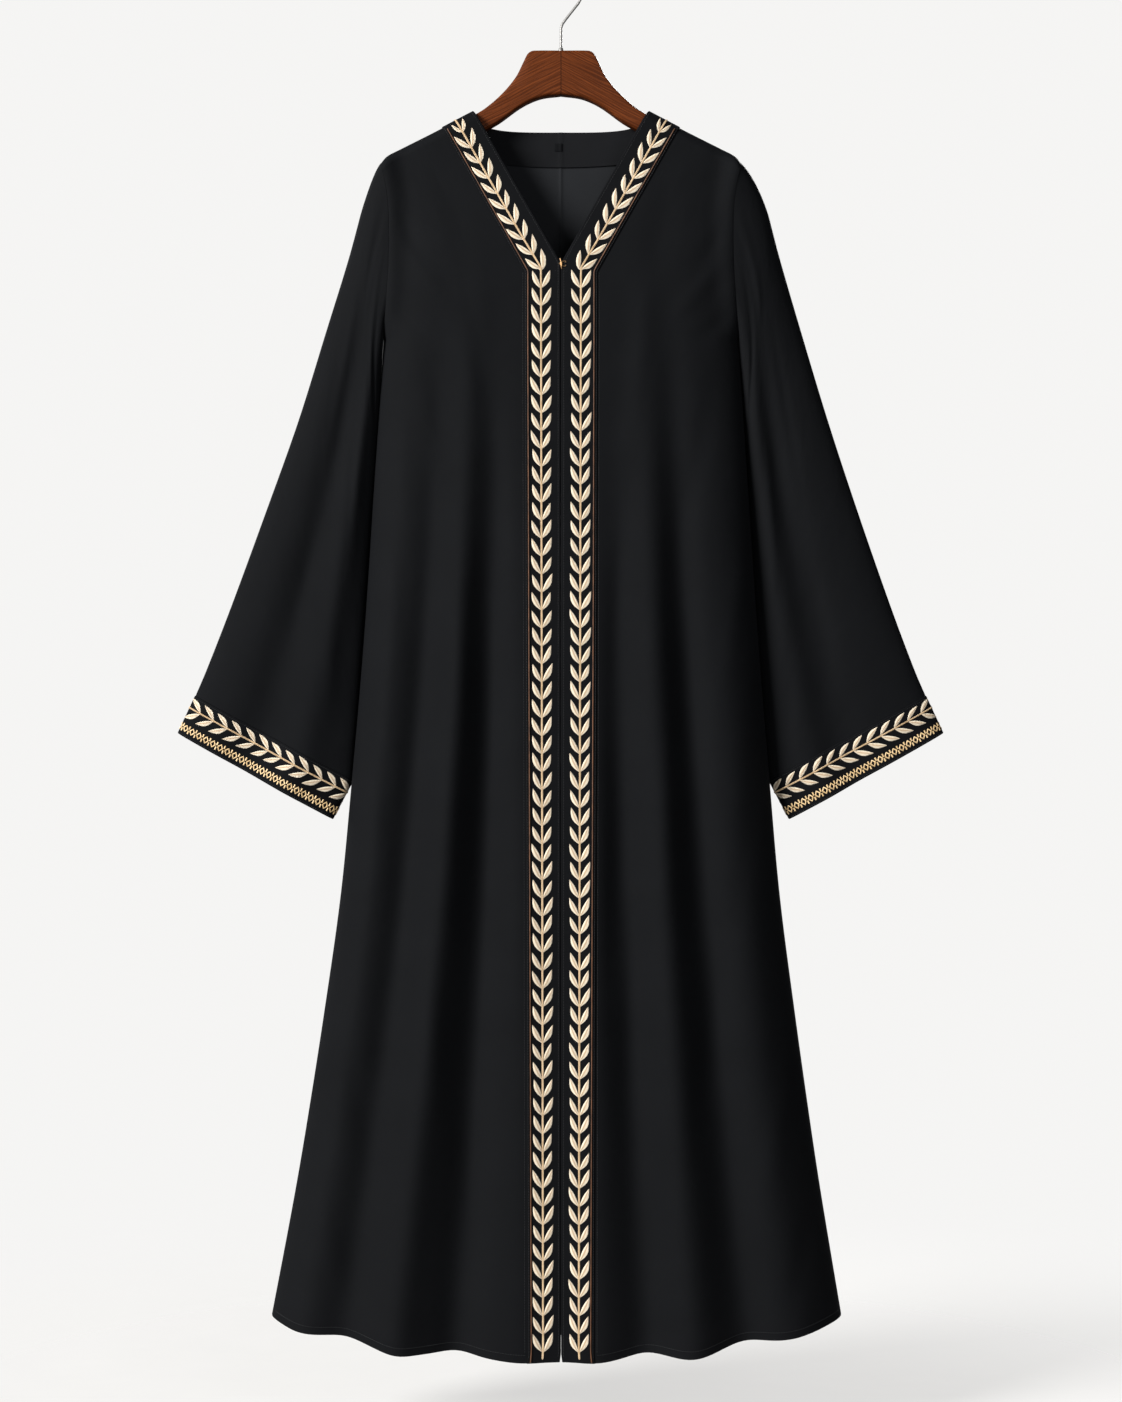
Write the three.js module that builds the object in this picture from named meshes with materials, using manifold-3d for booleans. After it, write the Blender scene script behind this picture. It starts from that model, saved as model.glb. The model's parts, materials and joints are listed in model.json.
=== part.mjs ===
// A long open-fronted robe of black crepe on a wooden hanger. It hangs straight, sleeves at its sides.
// Millimetres. X runs to the wearer's left, which is the right-hand side seen from the front.
// Y runs to the back and Z runs up. The origin is the point under the hook's crown that bears on a rail.
import * as THREE from "three";
import { mergeVertices } from "three/addons/utils/BufferGeometryUtils.js";
import Module from "manifold-3d";

const wasm = await Module();
wasm.setup();

// Cloth thicknesses and the clearance left at a seam
const CLOTH = 1.5;
const BAND_CLOTH = 1.0;
const CUFF_STEP = 0.7;
const FACING_CLOTH = 1.0;
const SEAM_GAP = 0.3;

// Heights of the robe's own landmarks
const NECK_CORNER = { x: 100, z: -160 };
const SHOULDER_POINT = { x: 205, z: -219 };
const NECK_TURN = { x: 92.5, z: -172 };
const V_POINT = { x: 0.5, z: -336.5 };
const UNDERARM_Z = -421;
const HEM_Z = -1568;
const HEM_SIDE_RISE = 39;

// The left side hangs narrower by this much at the hem
const LEFT_NARROWER = { by: 11, start: -700 };
const HEM_DIP_SHARE = 0.27;
const HEM_NOTCH = { opening: 1.2, height: 14 };
const BACK_NECK_DROP = 19.6;

// The front band: its width at the neck and at the hem, and where the corded line runs on it
const BAND_WIDTH = 41;
const BAND_HEM_WIDTH = 36.5;
const BAND_SHOULDER_END = { x: 135.5, z: -178.5 };
const CORD_SHARE = 0.905;
const CORD_RADIUS = 1.0;

// Cloth falls over the hanger's top edge in a curve of this height
const SHOULDER_ROUND = 14;
const SIDE_SQUARENESS = 5;
const ARMHOLE_DEPTH = 20;
const ARMHOLE_FOOT = 62;
const ARMHOLE_REACH = 0.82;

const SHOULDER_LINE = [
  { x: 100, z: -160 },
  { x: 146, z: -184 },
  { x: 183, z: -202.5 },
  { x: 198, z: -211 },
  { x: 205, z: -219 },
];

// Half width of the body: the armhole seam down to the underarm, and the side seam below it
const SIDE_LINE = [
  { z: -219, half: 205 },
  { z: -245, half: 199 },
  { z: -275, half: 195.5 },
  { z: -330, half: 195.5 },
  { z: -380, half: 198.5 },
  { z: -421, half: 202 },
  { z: -603, half: 214 },
  { z: -704, half: 220.5 },
  { z: -804, half: 228 },
  { z: -917, half: 238 },
  { z: -1051, half: 251 },
  { z: -1183, half: 269.5 },
  { z: -1314, half: 290 },
  { z: -1401, half: 305 },
  { z: -1538, half: 331 },
];

// How far the front and the back stand off the middle plane
const BODY_DEPTH = [
  { z: -160, front: 19, back: 19 },
  { z: -219, front: 21, back: 20 },
  { z: -330, front: 32, back: 27 },
  { z: -480, front: 38, back: 33 },
  { z: -700, front: 44, back: 40 },
  { z: -1000, front: 53, back: 49 },
  { z: -1300, front: 62, back: 57 },
  { z: -1568, front: 70, back: 64 },
];

// Soft folds. top and hem say where a fold lies, and spread how wide it is, as shares of the half width.
// rise is its height, negative for a trough, and it grows from z start to z full.
const FOLDS = {
  frontRight: [
    { top: 0.2, hem: 0.135, rise: 5, spread: 0.08, start: -420, full: -1300 },
    { top: 0.367, hem: 0.352, rise: -16, spread: 0.08, start: -300, full: -1050 },
    { top: 0.5, hem: 0.555, rise: 13, spread: 0.075, start: -250, full: -1000 },
    { top: 0.676, hem: 0.732, rise: -13, spread: 0.075, start: -290, full: -1000 },
    { top: 0.86, hem: 0.895, rise: 8, spread: 0.07, start: -330, full: -900 },
  ],
  frontLeft: [
    { top: 0.2, hem: 0.12, rise: 5, spread: 0.07, start: -520, full: -1250 },
    { top: 0.28, hem: 0.296, rise: -14, spread: 0.08, start: -400, full: -1150 },
    { top: 0.47, hem: 0.467, rise: 13, spread: 0.085, start: -280, full: -1050 },
    { top: 0.613, hem: 0.645, rise: -14, spread: 0.085, start: -270, full: -900 },
    { top: 0.86, hem: 0.83, rise: 8, spread: 0.1, start: -400, full: -1200 },
  ],
  backRight: [
    { top: 0.12, hem: 0.1, rise: 7, spread: 0.08, start: -420, full: -1250 },
    { top: 0.31, hem: 0.3, rise: -14, spread: 0.09, start: -300, full: -1050 },
    { top: 0.52, hem: 0.54, rise: 12, spread: 0.085, start: -340, full: -1100 },
    { top: 0.74, hem: 0.76, rise: -10, spread: 0.075, start: -300, full: -950 },
  ],
  backLeft: [
    { top: 0.14, hem: 0.16, rise: -12, spread: 0.09, start: -360, full: -1150 },
    { top: 0.36, hem: 0.35, rise: 12, spread: 0.08, start: -300, full: -1000 },
    { top: 0.57, hem: 0.56, rise: -14, spread: 0.085, start: -260, full: -1050 },
    { top: 0.8, hem: 0.78, rise: 9, spread: 0.08, start: -380, full: -1150 },
  ],
};

// The sleeve, from the armhole at 0 to the cuff seam at 1: its outer and inner edges seen from the front,
// the middle of its thickness, half that thickness, and how far back its inner edge is tucked, which puts it
// just behind the body's side seam
const SLEEVE = [
  { s: 0, outerX: 205, outerZ: -219, innerX: 203, innerZ: -421, middle: 0, depth: 20, tuck: 0 },
  { s: 0.05, outerX: 216, outerZ: -233, innerX: 204.6, innerZ: -452, middle: 1, depth: 20.5, tuck: 0.5 },
  { s: 0.12, outerX: 224, outerZ: -259, innerX: 206.4, innerZ: -490, middle: 3, depth: 21, tuck: 1.6 },
  { s: 0.24, outerX: 242, outerZ: -325, innerX: 210.4, innerZ: -560, middle: 6, depth: 21, tuck: 3 },
  { s: 0.38, outerX: 268, outerZ: -408, innerX: 215, innerZ: -637, middle: 9, depth: 20.5, tuck: 4 },
  { s: 0.52, outerX: 300.5, outerZ: -512, innerX: 219.6, innerZ: -712, middle: 10, depth: 20, tuck: 4 },
  { s: 0.66, outerX: 338, outerZ: -617, innerX: 224.8, innerZ: -782, middle: 10, depth: 19, tuck: 4 },
  { s: 0.8, outerX: 376.5, outerZ: -722, innerX: 229.9, innerZ: -846, middle: 9.5, depth: 18, tuck: 3.5 },
  { s: 0.92, outerX: 404, outerZ: -793, innerX: 234.4, innerZ: -895, middle: 9, depth: 17, tuck: 2.5 },
  { s: 1, outerX: 417.5, outerZ: -825, innerX: 237.2, innerZ: -921, middle: 8.5, depth: 16, tuck: 1.5 },
];

// How much further out the left sleeve's outer edge hangs
const LEFT_SLEEVE_OUT = [
  { s: 0, by: 0 },
  { s: 0.05, by: 4 },
  { s: 0.12, by: 7.5 },
  { s: 0.24, by: 7.5 },
  { s: 0.38, by: 6 },
  { s: 0.52, by: 5 },
  { s: 0.66, by: 2 },
  { s: 0.8, by: 0 },
  { s: 1, by: -1 },
];
const SLEEVE_HEAD = 0.16;
const SLEEVE_SQUARENESS = 3;
const CUFF_END = { outerX: 437.5, outerZ: -868, innerX: 261, innerZ: -966, middle: 8, depth: 16, tuck: 0 };

// Folds along a sleeve. at is the share of the way from its outer to its inner edge.
const SLEEVE_FOLDS = {
  right: [
    { at: 0.42, rise: -6, spread: 0.13, face: "front", start: 0.1, full: 0.5 },
    { at: 0.7, rise: 6, spread: 0.12, face: "front", start: 0.08, full: 0.4 },
    { at: 0.5, rise: -6, spread: 0.14, face: "back", start: 0.1, full: 0.6 },
  ],
  left: [
    { at: 0.75, rise: 4, spread: 0.12, face: "front", start: 0.1, full: 0.4 },
    { at: 0.55, rise: -6, spread: 0.13, face: "front", start: 0.1, full: 0.5 },
    { at: 0.45, rise: -6, spread: 0.14, face: "back", start: 0.1, full: 0.6 },
  ],
};

// Back neck facing and the blank tab sewn on it
const FACING = { halfWidth: 88, depth: 41, stand: 0.7 };
const TAB = { width: 8, height: 9, thick: 0.8, x: -3, below: 13 };

// Hook and eye at the foot of the neckline: a slim bent plate over a wire loop
const CLOSURE = { z: -338, height: 12, width: 2.6, plate: 0.9, lean: 0.8 };
const EYE = { wire: 0.5, reach: 5, past: 1.2, height: 6 };

// The hanger: two arms glued at the middle, 18 mm thick, with a wire hook let into their top
const ARM_THICK = 18;
const ARM_EDGE_ROUND = 3.5;
const ARM_TOP_Z = -91;
const ARM_GLUE_GAP = 0.15;
const ARM_UPPER_EDGE = [
  { x: 37, z: -91 },
  { x: 42, z: -102.5 },
  { x: 51, z: -120.5 },
  { x: 66, z: -139 },
  { x: 85, z: -155.8 },
  { x: 100, z: -165 },
  { x: 146, z: -189 },
  { x: 181, z: -207.5 },
];
const ARM_LOWER_EDGE = [
  { x: 186, z: -229 },
  { x: 146, z: -211 },
  { x: 91, z: -184 },
  { x: 71, z: -173 },
  { x: 45, z: -154.5 },
  { x: 24, z: -145 },
  { x: 0, z: -141.5 },
];
const ARM_END = { x: 186, z: -220, radius: 10 };
const WIRE_RADIUS = 1.7;
const HOOK_RADIUS = 24;
const HOOK_STEM_TOP_Z = -61;
const HOOK_SLANT_ANGLE = -43;
const HOOK_TIP_ANGLE = 192;
const HOOK_HOLE_DEPTH = 14;
const HOOK_STEM = [
  { x: 0, z: ARM_TOP_Z - HOOK_HOLE_DEPTH + 1 },
  { x: 0, z: ARM_TOP_Z + 8 },
  { x: 0, z: HOOK_STEM_TOP_Z - 3 },
  { x: 1.6, z: HOOK_STEM_TOP_Z + 1.5 },
];
const HOOK_ARC_STEPS = 14;
const WIRE_SIDES = 8;
const FERRULE = { radius: 3, height: 3.5, taper: 0.5, sides: 16 };

const COLOURS = {
  crepe: { color: 0x17181b, roughness: 0.85, metalness: 0 },
  cord: { color: 0x7a4a2a, roughness: 0.5, metalness: 0 },
  bronze: { color: 0xa9763f, roughness: 0.35, metalness: 1 },
  wood: { color: 0x6b3720, roughness: 0.4, metalness: 0 },
  steel: { color: 0xc6c5c2, roughness: 0.25, metalness: 1 },
};

const mix = (a, b, t) => a + (b - a) * t;
const clampShare = (t) => Math.min(1, Math.max(0, t));

const between = (from, to, t) => ({ x: mix(from.x, to.x, t), z: mix(from.z, to.z, t) });

function ease(t) {
  const share = clampShare(t);
  return share * share * (3 - 2 * share);
}

// A smooth line through a table's rows: the value column against the along column
function lineThrough(rows, along, value) {
  const xs = rows.map((row) => row[along]);
  const ys = rows.map((row) => row[value]);
  const last = rows.length - 1;
  const rising = xs[last] > xs[0];
  const slopes = xs.map((x, i) => {
    const before = Math.max(0, i - 1);
    const after = Math.min(last, i + 1);
    return (ys[after] - ys[before]) / (xs[after] - xs[before]);
  });
  return (x) => {
    let i = 0;
    while (i < last - 1 && (rising ? x > xs[i + 1] : x < xs[i + 1])) i += 1;
    const span = xs[i + 1] - xs[i];
    const t = clampShare((x - xs[i]) / span);
    const t2 = t * t;
    const t3 = t2 * t;
    const ends = mix(ys[i], ys[i + 1], 3 * t2 - 2 * t3);
    return ends + span * ((t3 - 2 * t2 + t) * slopes[i] + (t3 - t2) * slopes[i + 1]);
  };
}

const sideHalf = lineThrough(SIDE_LINE, "z", "half");
const shoulderCurve = lineThrough(SHOULDER_LINE, "x", "z");
const SHOULDER_SLOPE = 0.52;

function shoulderZ(x) {
  if (x >= NECK_CORNER.x) return shoulderCurve(x);
  return NECK_CORNER.z + (NECK_CORNER.x - x) * SHOULDER_SLOPE;
}

const faceDepth = {
  front: lineThrough(BODY_DEPTH, "z", "front"),
  back: lineThrough(BODY_DEPTH, "z", "back"),
};

function foldRise(folds, share, z) {
  return folds.reduce((sum, fold) => {
    const centre = mix(fold.top, fold.hem, ease((UNDERARM_Z - z) / (UNDERARM_Z - HEM_Z)));
    const grown = ease((fold.start - z) / (fold.start - fold.full));
    const away = (share - centre) / fold.spread;
    return sum + fold.rise * grown * Math.exp(-away * away);
  }, 0);
}

// 0 above the foot of the armhole and 1 from the underarm down
const armholeClosing = (z) => clampShare((UNDERARM_Z + ARMHOLE_FOOT - z) / ARMHOLE_FOOT);

// The armhole stands open by this much either side of the middle plane, closing at the underarm
const armholeDepth = (z) => ARMHOLE_DEPTH * Math.sqrt(1 - armholeClosing(z) ** 2);

// The cloth's fall over the hanger: 0 on the shoulder line and 1 from the foot of the round down
function shoulderFall(x, z) {
  const above = 1 - clampShare((shoulderZ(x) - z) / SHOULDER_ROUND);
  return Math.sqrt(1 - above * above);
}

// How far a panel reaches from the middle to its armhole or side seam
function panelHalf(panel, z) {
  const low = clampShare((LEFT_NARROWER.start - z) / (LEFT_NARROWER.start - HEM_Z));
  return sideHalf(z) - (panel.side > 0 ? LEFT_NARROWER.by * low ** 2 : 0);
}

// How far the body's cloth stands off the middle plane at a place seen from the front
function bodyDepth(panel, x, z) {
  const share = Math.min(1, Math.abs(x) / panelHalf(panel, z));
  const hole = armholeDepth(z) * ease((share - ARMHOLE_REACH) / (1 - ARMHOLE_REACH));
  const standOff = faceDepth[panel.face](z) + foldRise(panel.folds, share, z);
  const open = standOff * Math.sqrt(1 - share ** SIDE_SQUARENESS);
  return Math.hypot(open, hole) * shoulderFall(Math.abs(x), z);
}

// Inner edge of a front: down the neckline to the V point, then down the middle
function frontInnerEdge(v) {
  const z = mix(NECK_CORNER.z, UNDERARM_Z, v);
  if (z > NECK_TURN.z) {
    const t = (NECK_CORNER.z - z) / (NECK_CORNER.z - NECK_TURN.z);
    return { x: mix(NECK_CORNER.x, NECK_TURN.x, t), z };
  }
  const t = clampShare((NECK_TURN.z - z) / (NECK_TURN.z - V_POINT.z));
  return { x: mix(NECK_TURN.x, V_POINT.x, t), z };
}

// Inner edge of a back: along the neckline's shallow scoop, then down the middle seam
const BACK_NECK_SHARE = 0.26;

function backInnerEdge(v) {
  const middle = NECK_CORNER.z - BACK_NECK_DROP;
  if (v >= BACK_NECK_SHARE) {
    const below = (v - BACK_NECK_SHARE) / (1 - BACK_NECK_SHARE);
    return { x: SEAM_GAP / 2, z: mix(middle, UNDERARM_Z, below) };
  }
  const along = 1 - v / BACK_NECK_SHARE;
  const x = Math.max(SEAM_GAP / 2, NECK_CORNER.x * along);
  return { x, z: NECK_CORNER.z - BACK_NECK_DROP * Math.sqrt(1 - along ** 4) };
}

const V_ROW = (NECK_CORNER.z - V_POINT.z) / (NECK_CORNER.z - UNDERARM_Z);
const neckTilt = Math.atan2(NECK_TURN.x - V_POINT.x, NECK_TURN.z - V_POINT.z);
const BAND_CORNER = {
  x: V_POINT.x + BAND_WIDTH,
  z: V_POINT.z - BAND_WIDTH * Math.tan(neckTilt / 2),
};

// Outer edge of the front band, above the underarm
function bandOuterEdge(v) {
  if (v < V_ROW) {
    return between(BAND_SHOULDER_END, BAND_CORNER, v / V_ROW);
  }
  return { x: BAND_CORNER.x, z: mix(BAND_CORNER.z, UNDERARM_Z, (v - V_ROW) / (1 - V_ROW)) };
}

// A panel's cloth from the shoulder down to the underarm. The rows bow with the shoulder line at the top.
function upperPlace(panel, across, down) {
  const inner = panel.innerEdge(down);
  const outerZ = mix(SHOULDER_POINT.z, UNDERARM_Z, down);
  const outer = { x: sideHalf(outerZ), z: outerZ };
  const innerTop = panel.innerEdge(0);
  let place = between(inner, outer, across / 2);
  let top = between(innerTop, SHOULDER_POINT, across / 2);
  if (panel.banded && across <= 1) {
    place = between(inner, bandOuterEdge(down), across);
    top = between(innerTop, BAND_SHOULDER_END, across);
  } else if (panel.banded) {
    place = between(bandOuterEdge(down), outer, across - 1);
    top = between(BAND_SHOULDER_END, SHOULDER_POINT, across - 1);
  }
  const bow = shoulderZ(top.x) - top.z;
  return { x: place.x, z: place.z + bow * (1 - down) };
}

// A panel's cloth from the underarm, where low is 0, to the hem, where low is 1. The hem rises to the
// side seams and dips at each ridge, and the fronts part by a hair at its very foot.
function lowerPlace(panel, across, low) {
  const level = mix(UNDERARM_Z, HEM_Z, low);
  const half = panelHalf(panel, level);
  const parting = HEM_NOTCH.opening * ease((HEM_Z + HEM_NOTCH.height - level) / HEM_NOTCH.height);
  const innerX = panel.innerEdge(1).x + (panel.banded ? parting : 0);
  const bandX = innerX + mix(BAND_WIDTH, BAND_HEM_WIDTH, low);
  let x = mix(innerX, half, across / 2);
  if (panel.banded) x = across <= 1 ? mix(innerX, bandX, across) : mix(bandX, half, across - 1);
  const share = x / half;
  const dip = HEM_DIP_SHARE * foldRise(panel.folds, share, HEM_Z) * low ** 6;
  const z = level + HEM_SIDE_RISE * share ** 2 * low * low - dip;
  return { x: share * panelHalf(panel, z), z };
}

// Where a panel's cloth lies, seen from the front. across is 0 at the inner edge, 1 at the band's outer edge
// and 2 at the armhole or side seam. A back has no band, so there it goes straight from 0 to 2.
// down is 0 at the shoulder, 1 at the underarm and 2 at the hem.
function panelPlace(panel, across, down) {
  return down <= 1 ? upperPlace(panel, across, down) : lowerPlace(panel, across, down - 1);
}

function panelPoint(panel, across, down) {
  const { x, z } = panelPlace(panel, across, down);
  const y = bodyDepth(panel, x, z) + SEAM_GAP / 2;
  return new THREE.Vector3(panel.side * x, panel.face === "front" ? -y : y, z);
}

// A surface's outward direction, from points a small step either side. Where it meets its twin at a seam
// on the middle plane it points straight along that plane. At an armhole it stands square to the seam's
// own run, so that both sides of the seam point the same way.
const STEP = 0.002;
const ON_SEAM = 0.4;

function outwardAt({ point, facing, uRange, vRange, armholeRun }, u, v) {
  const low = (t, range) => Math.max(range[0], t - STEP);
  const high = (t, range) => Math.min(range[1], t + STEP);
  const along = point(high(u, uRange), v).sub(point(low(u, uRange), v));
  const down = point(u, high(v, vRange)).sub(point(u, low(v, vRange)));
  const normal = along.clone().cross(down).multiplyScalar(facing);
  const run = armholeRun(u, v, along, down);
  if (run) {
    const square = new THREE.Vector3(0, -run.z, run.y).normalize();
    return square.multiplyScalar(Math.sign(square.dot(normal)));
  }
  if (Math.abs(point(u, v).y) < ON_SEAM) normal.y = 0;
  return normal.normalize();
}

function geometryFrom(positions, triangles) {
  const geometry = new THREE.BufferGeometry();
  const numbers = positions.flatMap((p) => [p.x, p.y, p.z]);
  geometry.setAttribute("position", new THREE.Float32BufferAttribute(numbers, 3));
  const volume = triangles.reduce((sum, [a, b, c]) => {
    return sum + positions[a].dot(positions[b].clone().cross(positions[c]));
  }, 0);
  geometry.setIndex(triangles.flatMap(([a, b, c]) => (volume > 0 ? [a, b, c] : [a, c, b])));
  geometry.computeVertexNormals();
  return geometry;
}

// A wall of cloth between two lifts off a surface. An open wall has four rims.
// A tube's columns close on themselves, so it has a rim at each end only.
function wall({ surface, us, vs, outer, inner, tube = false }) {
  const columns = us.length;
  const positions = [];
  for (const lift of [outer, inner]) {
    for (const v of vs) {
      for (const u of us) {
        positions.push(surface.point(u, v).addScaledVector(outwardAt(surface, u, v), lift));
      }
    }
  }
  const sheet = columns * vs.length;
  const at = (layer, row, column) => layer * sheet + row * columns + (column % columns);
  const triangles = [];
  const quad = (a, b, c, d) => triangles.push([a, b, c], [a, c, d]);
  const spans = tube ? columns : columns - 1;
  for (let row = 0; row < vs.length - 1; row += 1) {
    for (let column = 0; column < spans; column += 1) {
      const next = column + 1;
      quad(at(0, row, column), at(0, row, next), at(0, row + 1, next), at(0, row + 1, column));
      quad(at(1, row, column), at(1, row + 1, column), at(1, row + 1, next), at(1, row, next));
    }
  }
  const lastRow = vs.length - 1;
  for (let column = 0; column < spans; column += 1) {
    const next = column + 1;
    quad(at(0, 0, column), at(1, 0, column), at(1, 0, next), at(0, 0, next));
    quad(at(0, lastRow, column), at(0, lastRow, next), at(1, lastRow, next), at(1, lastRow, column));
  }
  for (let row = 0; row < lastRow && !tube; row += 1) {
    quad(at(0, row, 0), at(0, row + 1, 0), at(1, row + 1, 0), at(1, row, 0));
    quad(at(0, row, spans), at(1, row, spans), at(1, row + 1, spans), at(0, row + 1, spans));
  }
  return geometryFrom(positions, triangles);
}

const evenly = (count, from, to) => Array.from({ length: count + 1 }, (_, i) => mix(from, to, i / count));

// Rows close together over the hanger's edge and at the underarm, one on the V point, then 115 mm apart
const UPPER_ROWS = [0, 0.006, 0.02, 0.045, 0.09, 0.16, 0.26, 0.38, 0.52, V_ROW, 0.83, 0.93, 0.98, 1];
const LOWER_ROW_COUNT = 10;
const ROWS = [...UPPER_ROWS, ...evenly(LOWER_ROW_COUNT, 1, 2).slice(1)];
const BAND_COLUMNS = [0, 0.45, CORD_SHARE, 1];
const CLOTH_COLUMNS = 14;
const CROWDING = 1.3;
const crowded = (count) => evenly(count, 0, 1).map((t) => 1 - (1 - t) ** CROWDING);
const CLOTH_PART = crowded(CLOTH_COLUMNS).slice(1);
const FRONT_COLUMNS = [...BAND_COLUMNS, ...CLOTH_PART.map((t) => 1 + t)];
const BACK_COLUMNS = crowded(CLOTH_COLUMNS + 1).map((t) => 2 * t);

const frontPanel = (name, side, folds) => {
  return { name, side, folds, face: "front", banded: true, innerEdge: frontInnerEdge };
};
const backPanel = (name, side, folds) => {
  return { name, side, folds, face: "back", banded: false, innerEdge: backInnerEdge };
};
const PANELS = [
  frontPanel("front_right", -1, FOLDS.frontRight),
  frontPanel("front_left", 1, FOLDS.frontLeft),
  backPanel("back_right", -1, FOLDS.backRight),
  backPanel("back_left", 1, FOLDS.backLeft),
];

const panelSurface = (panel) => ({
  point: (u, v) => panelPoint(panel, u, v),
  facing: panel.side * (panel.face === "front" ? -1 : 1),
  uRange: [0, 2],
  vRange: [0, 2],
  armholeRun: (u, v, along, down) => (u === 2 && v < 1 ? down : null),
});

function bodyPanel(panel) {
  const us = panel.banded ? FRONT_COLUMNS : BACK_COLUMNS;
  return wall({ surface: panelSurface(panel), us, vs: ROWS, outer: 0, inner: -CLOTH });
}

function frontBand(panel) {
  const surface = panelSurface(panel);
  const outer = SEAM_GAP + BAND_CLOTH;
  return wall({ surface, us: BAND_COLUMNS, vs: ROWS, outer, inner: SEAM_GAP });
}

// A round strand that goes through every one of its points, with a flat cap at both ends. None runs along Y.
function strand(points, radius, sides) {
  const last = points.length - 1;
  const depthways = new THREE.Vector3(0, 1, 0);
  const positions = [];
  const triangles = [];
  for (let i = 0; i <= last; i += 1) {
    const along = points[Math.min(last, i + 1)].clone().sub(points[Math.max(0, i - 1)]).normalize();
    const across = depthways.clone().cross(along).normalize();
    const outward = along.clone().cross(across);
    for (let k = 0; k < sides; k += 1) {
      const angle = (2 * Math.PI * k) / sides;
      const place = points[i].clone().addScaledVector(across, radius * Math.cos(angle));
      positions.push(place.addScaledVector(outward, radius * Math.sin(angle)));
    }
  }
  for (let i = 0; i < last; i += 1) {
    for (let k = 0; k < sides; k += 1) {
      const next = (k + 1) % sides;
      const here = i * sides;
      const there = here + sides;
      triangles.push([here + k, here + next, there + next], [here + k, there + next, there + k]);
    }
  }
  for (let k = 1; k < sides - 1; k += 1) {
    triangles.push([0, k + 1, k], [last * sides, last * sides + k, last * sides + k + 1]);
  }
  return geometryFrom(positions, triangles);
}

// The corded line couched on the band near its outer edge
const CORD_SIDES = 6;

function cordedLine(panel) {
  const surface = panelSurface(panel);
  const lift = SEAM_GAP + BAND_CLOTH + SEAM_GAP + CORD_RADIUS;
  const places = ROWS.slice(1).map((v) => {
    return surface.point(CORD_SHARE, v).addScaledVector(outwardAt(surface, CORD_SHARE, v), lift);
  });
  return strand(places, CORD_RADIUS, CORD_SIDES);
}

const SLEEVE_MEASURES = ["outerX", "outerZ", "innerX", "innerZ", "middle", "depth", "tuck"];
const leftSleeveOut = lineThrough(LEFT_SLEEVE_OUT, "s", "by");
const sleeveLines = SLEEVE_MEASURES.map((key) => [key, lineThrough(SLEEVE, "s", key)]);
const sleeveRow = (s) => Object.fromEntries(sleeveLines.map(([key, line]) => [key, line(s)]));

function sleeveFold(folds, face, across, s) {
  return folds
    .filter((fold) => fold.face === face)
    .reduce((sum, fold) => {
      const away = (across - fold.at) / fold.spread;
      const grown = ease((s - fold.start) / (fold.full - fold.start));
      return sum + fold.rise * grown * Math.exp(-away * away);
    }, 0);
}

// A point of a flattened tube: turn runs once round it from the outer edge over the front to the inner edge
function tubeSection(line, arm, turn, s) {
  const angle = 2 * Math.PI * turn;
  const across = (1 - Math.cos(angle)) / 2;
  const face = Math.sin(angle) >= 0 ? "front" : "back";
  const sign = face === "front" ? -1 : 1;
  const swell = Math.sqrt(Math.max(0, 1 - Math.abs(2 * across - 1) ** SLEEVE_SQUARENESS));
  const middle = line.middle + line.tuck * across ** 2;
  const outerX = line.outerX + (arm.side > 0 ? leftSleeveOut(s) : 0);
  return {
    x: mix(outerX, line.innerX, across),
    y: middle + sign * swell * (line.depth + sleeveFold(arm.folds, face, across, s)),
    z: mix(line.outerZ, line.innerZ, across),
    across,
    sign,
  };
}

function sleevePoint(arm, turn, s) {
  const tube = tubeSection(sleeveRow(s), arm, turn, s);
  const holeZ = mix(SHOULDER_POINT.z, UNDERARM_Z, tube.across);
  const edgeX = sideHalf(holeZ);
  const hole = {
    x: edgeX + SEAM_GAP,
    y: tube.sign * armholeDepth(holeZ) * shoulderFall(edgeX, holeZ),
    z: holeZ,
  };
  const away = ease(s / SLEEVE_HEAD);
  return new THREE.Vector3(
    arm.side * mix(hole.x, tube.x, away),
    mix(hole.y, tube.y, away),
    mix(hole.z, tube.z, away),
  );
}

const SLEEVE_ENDS = sleeveRow(1);

function cuffPoint(arm, turn, s) {
  const line = Object.fromEntries(
    Object.keys(SLEEVE_ENDS).map((key) => [key, mix(SLEEVE_ENDS[key], CUFF_END[key], s)]),
  );
  const { x, y, z } = tubeSection(line, arm, turn, 1);
  return new THREE.Vector3(arm.side * x, y, z);
}

const ARMS = [
  { name: "right", side: -1, folds: SLEEVE_FOLDS.right },
  { name: "left", side: 1, folds: SLEEVE_FOLDS.left },
];
// A sleeve's columns start on the body's rows, so that the two sides of the armhole seam match
const FRONT_TURNS = UPPER_ROWS.map((row) => Math.acos(1 - 2 * row) / (2 * Math.PI));
const BACK_TURNS = FRONT_TURNS.slice(1, -1).map((turn) => 1 - turn).reverse();
const TURNS = [...FRONT_TURNS, ...BACK_TURNS];
const SLEEVE_ROWS = [0, 0.03, 0.07, 0.12, 0.18, 0.26, 0.35, 0.45, 0.56, 0.67, 0.78, 0.89, 1];
const CUFF_LENGTH = 47;
const CUFF_ROWS = [(2 * SEAM_GAP) / CUFF_LENGTH, 0.5, 1];

const tubeSurface = (arm, point) => ({
  point: (u, v) => point(arm, u, v),
  facing: arm.side,
  uRange: [-1, 2],
  vRange: [0, 1],
  armholeRun: (u, v, along) => (point === sleevePoint && v === 0 ? along : null),
});

function sleeve(arm) {
  const surface = tubeSurface(arm, sleevePoint);
  return wall({ surface, us: TURNS, vs: SLEEVE_ROWS, outer: 0, inner: -CLOTH, tube: true });
}

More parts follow.
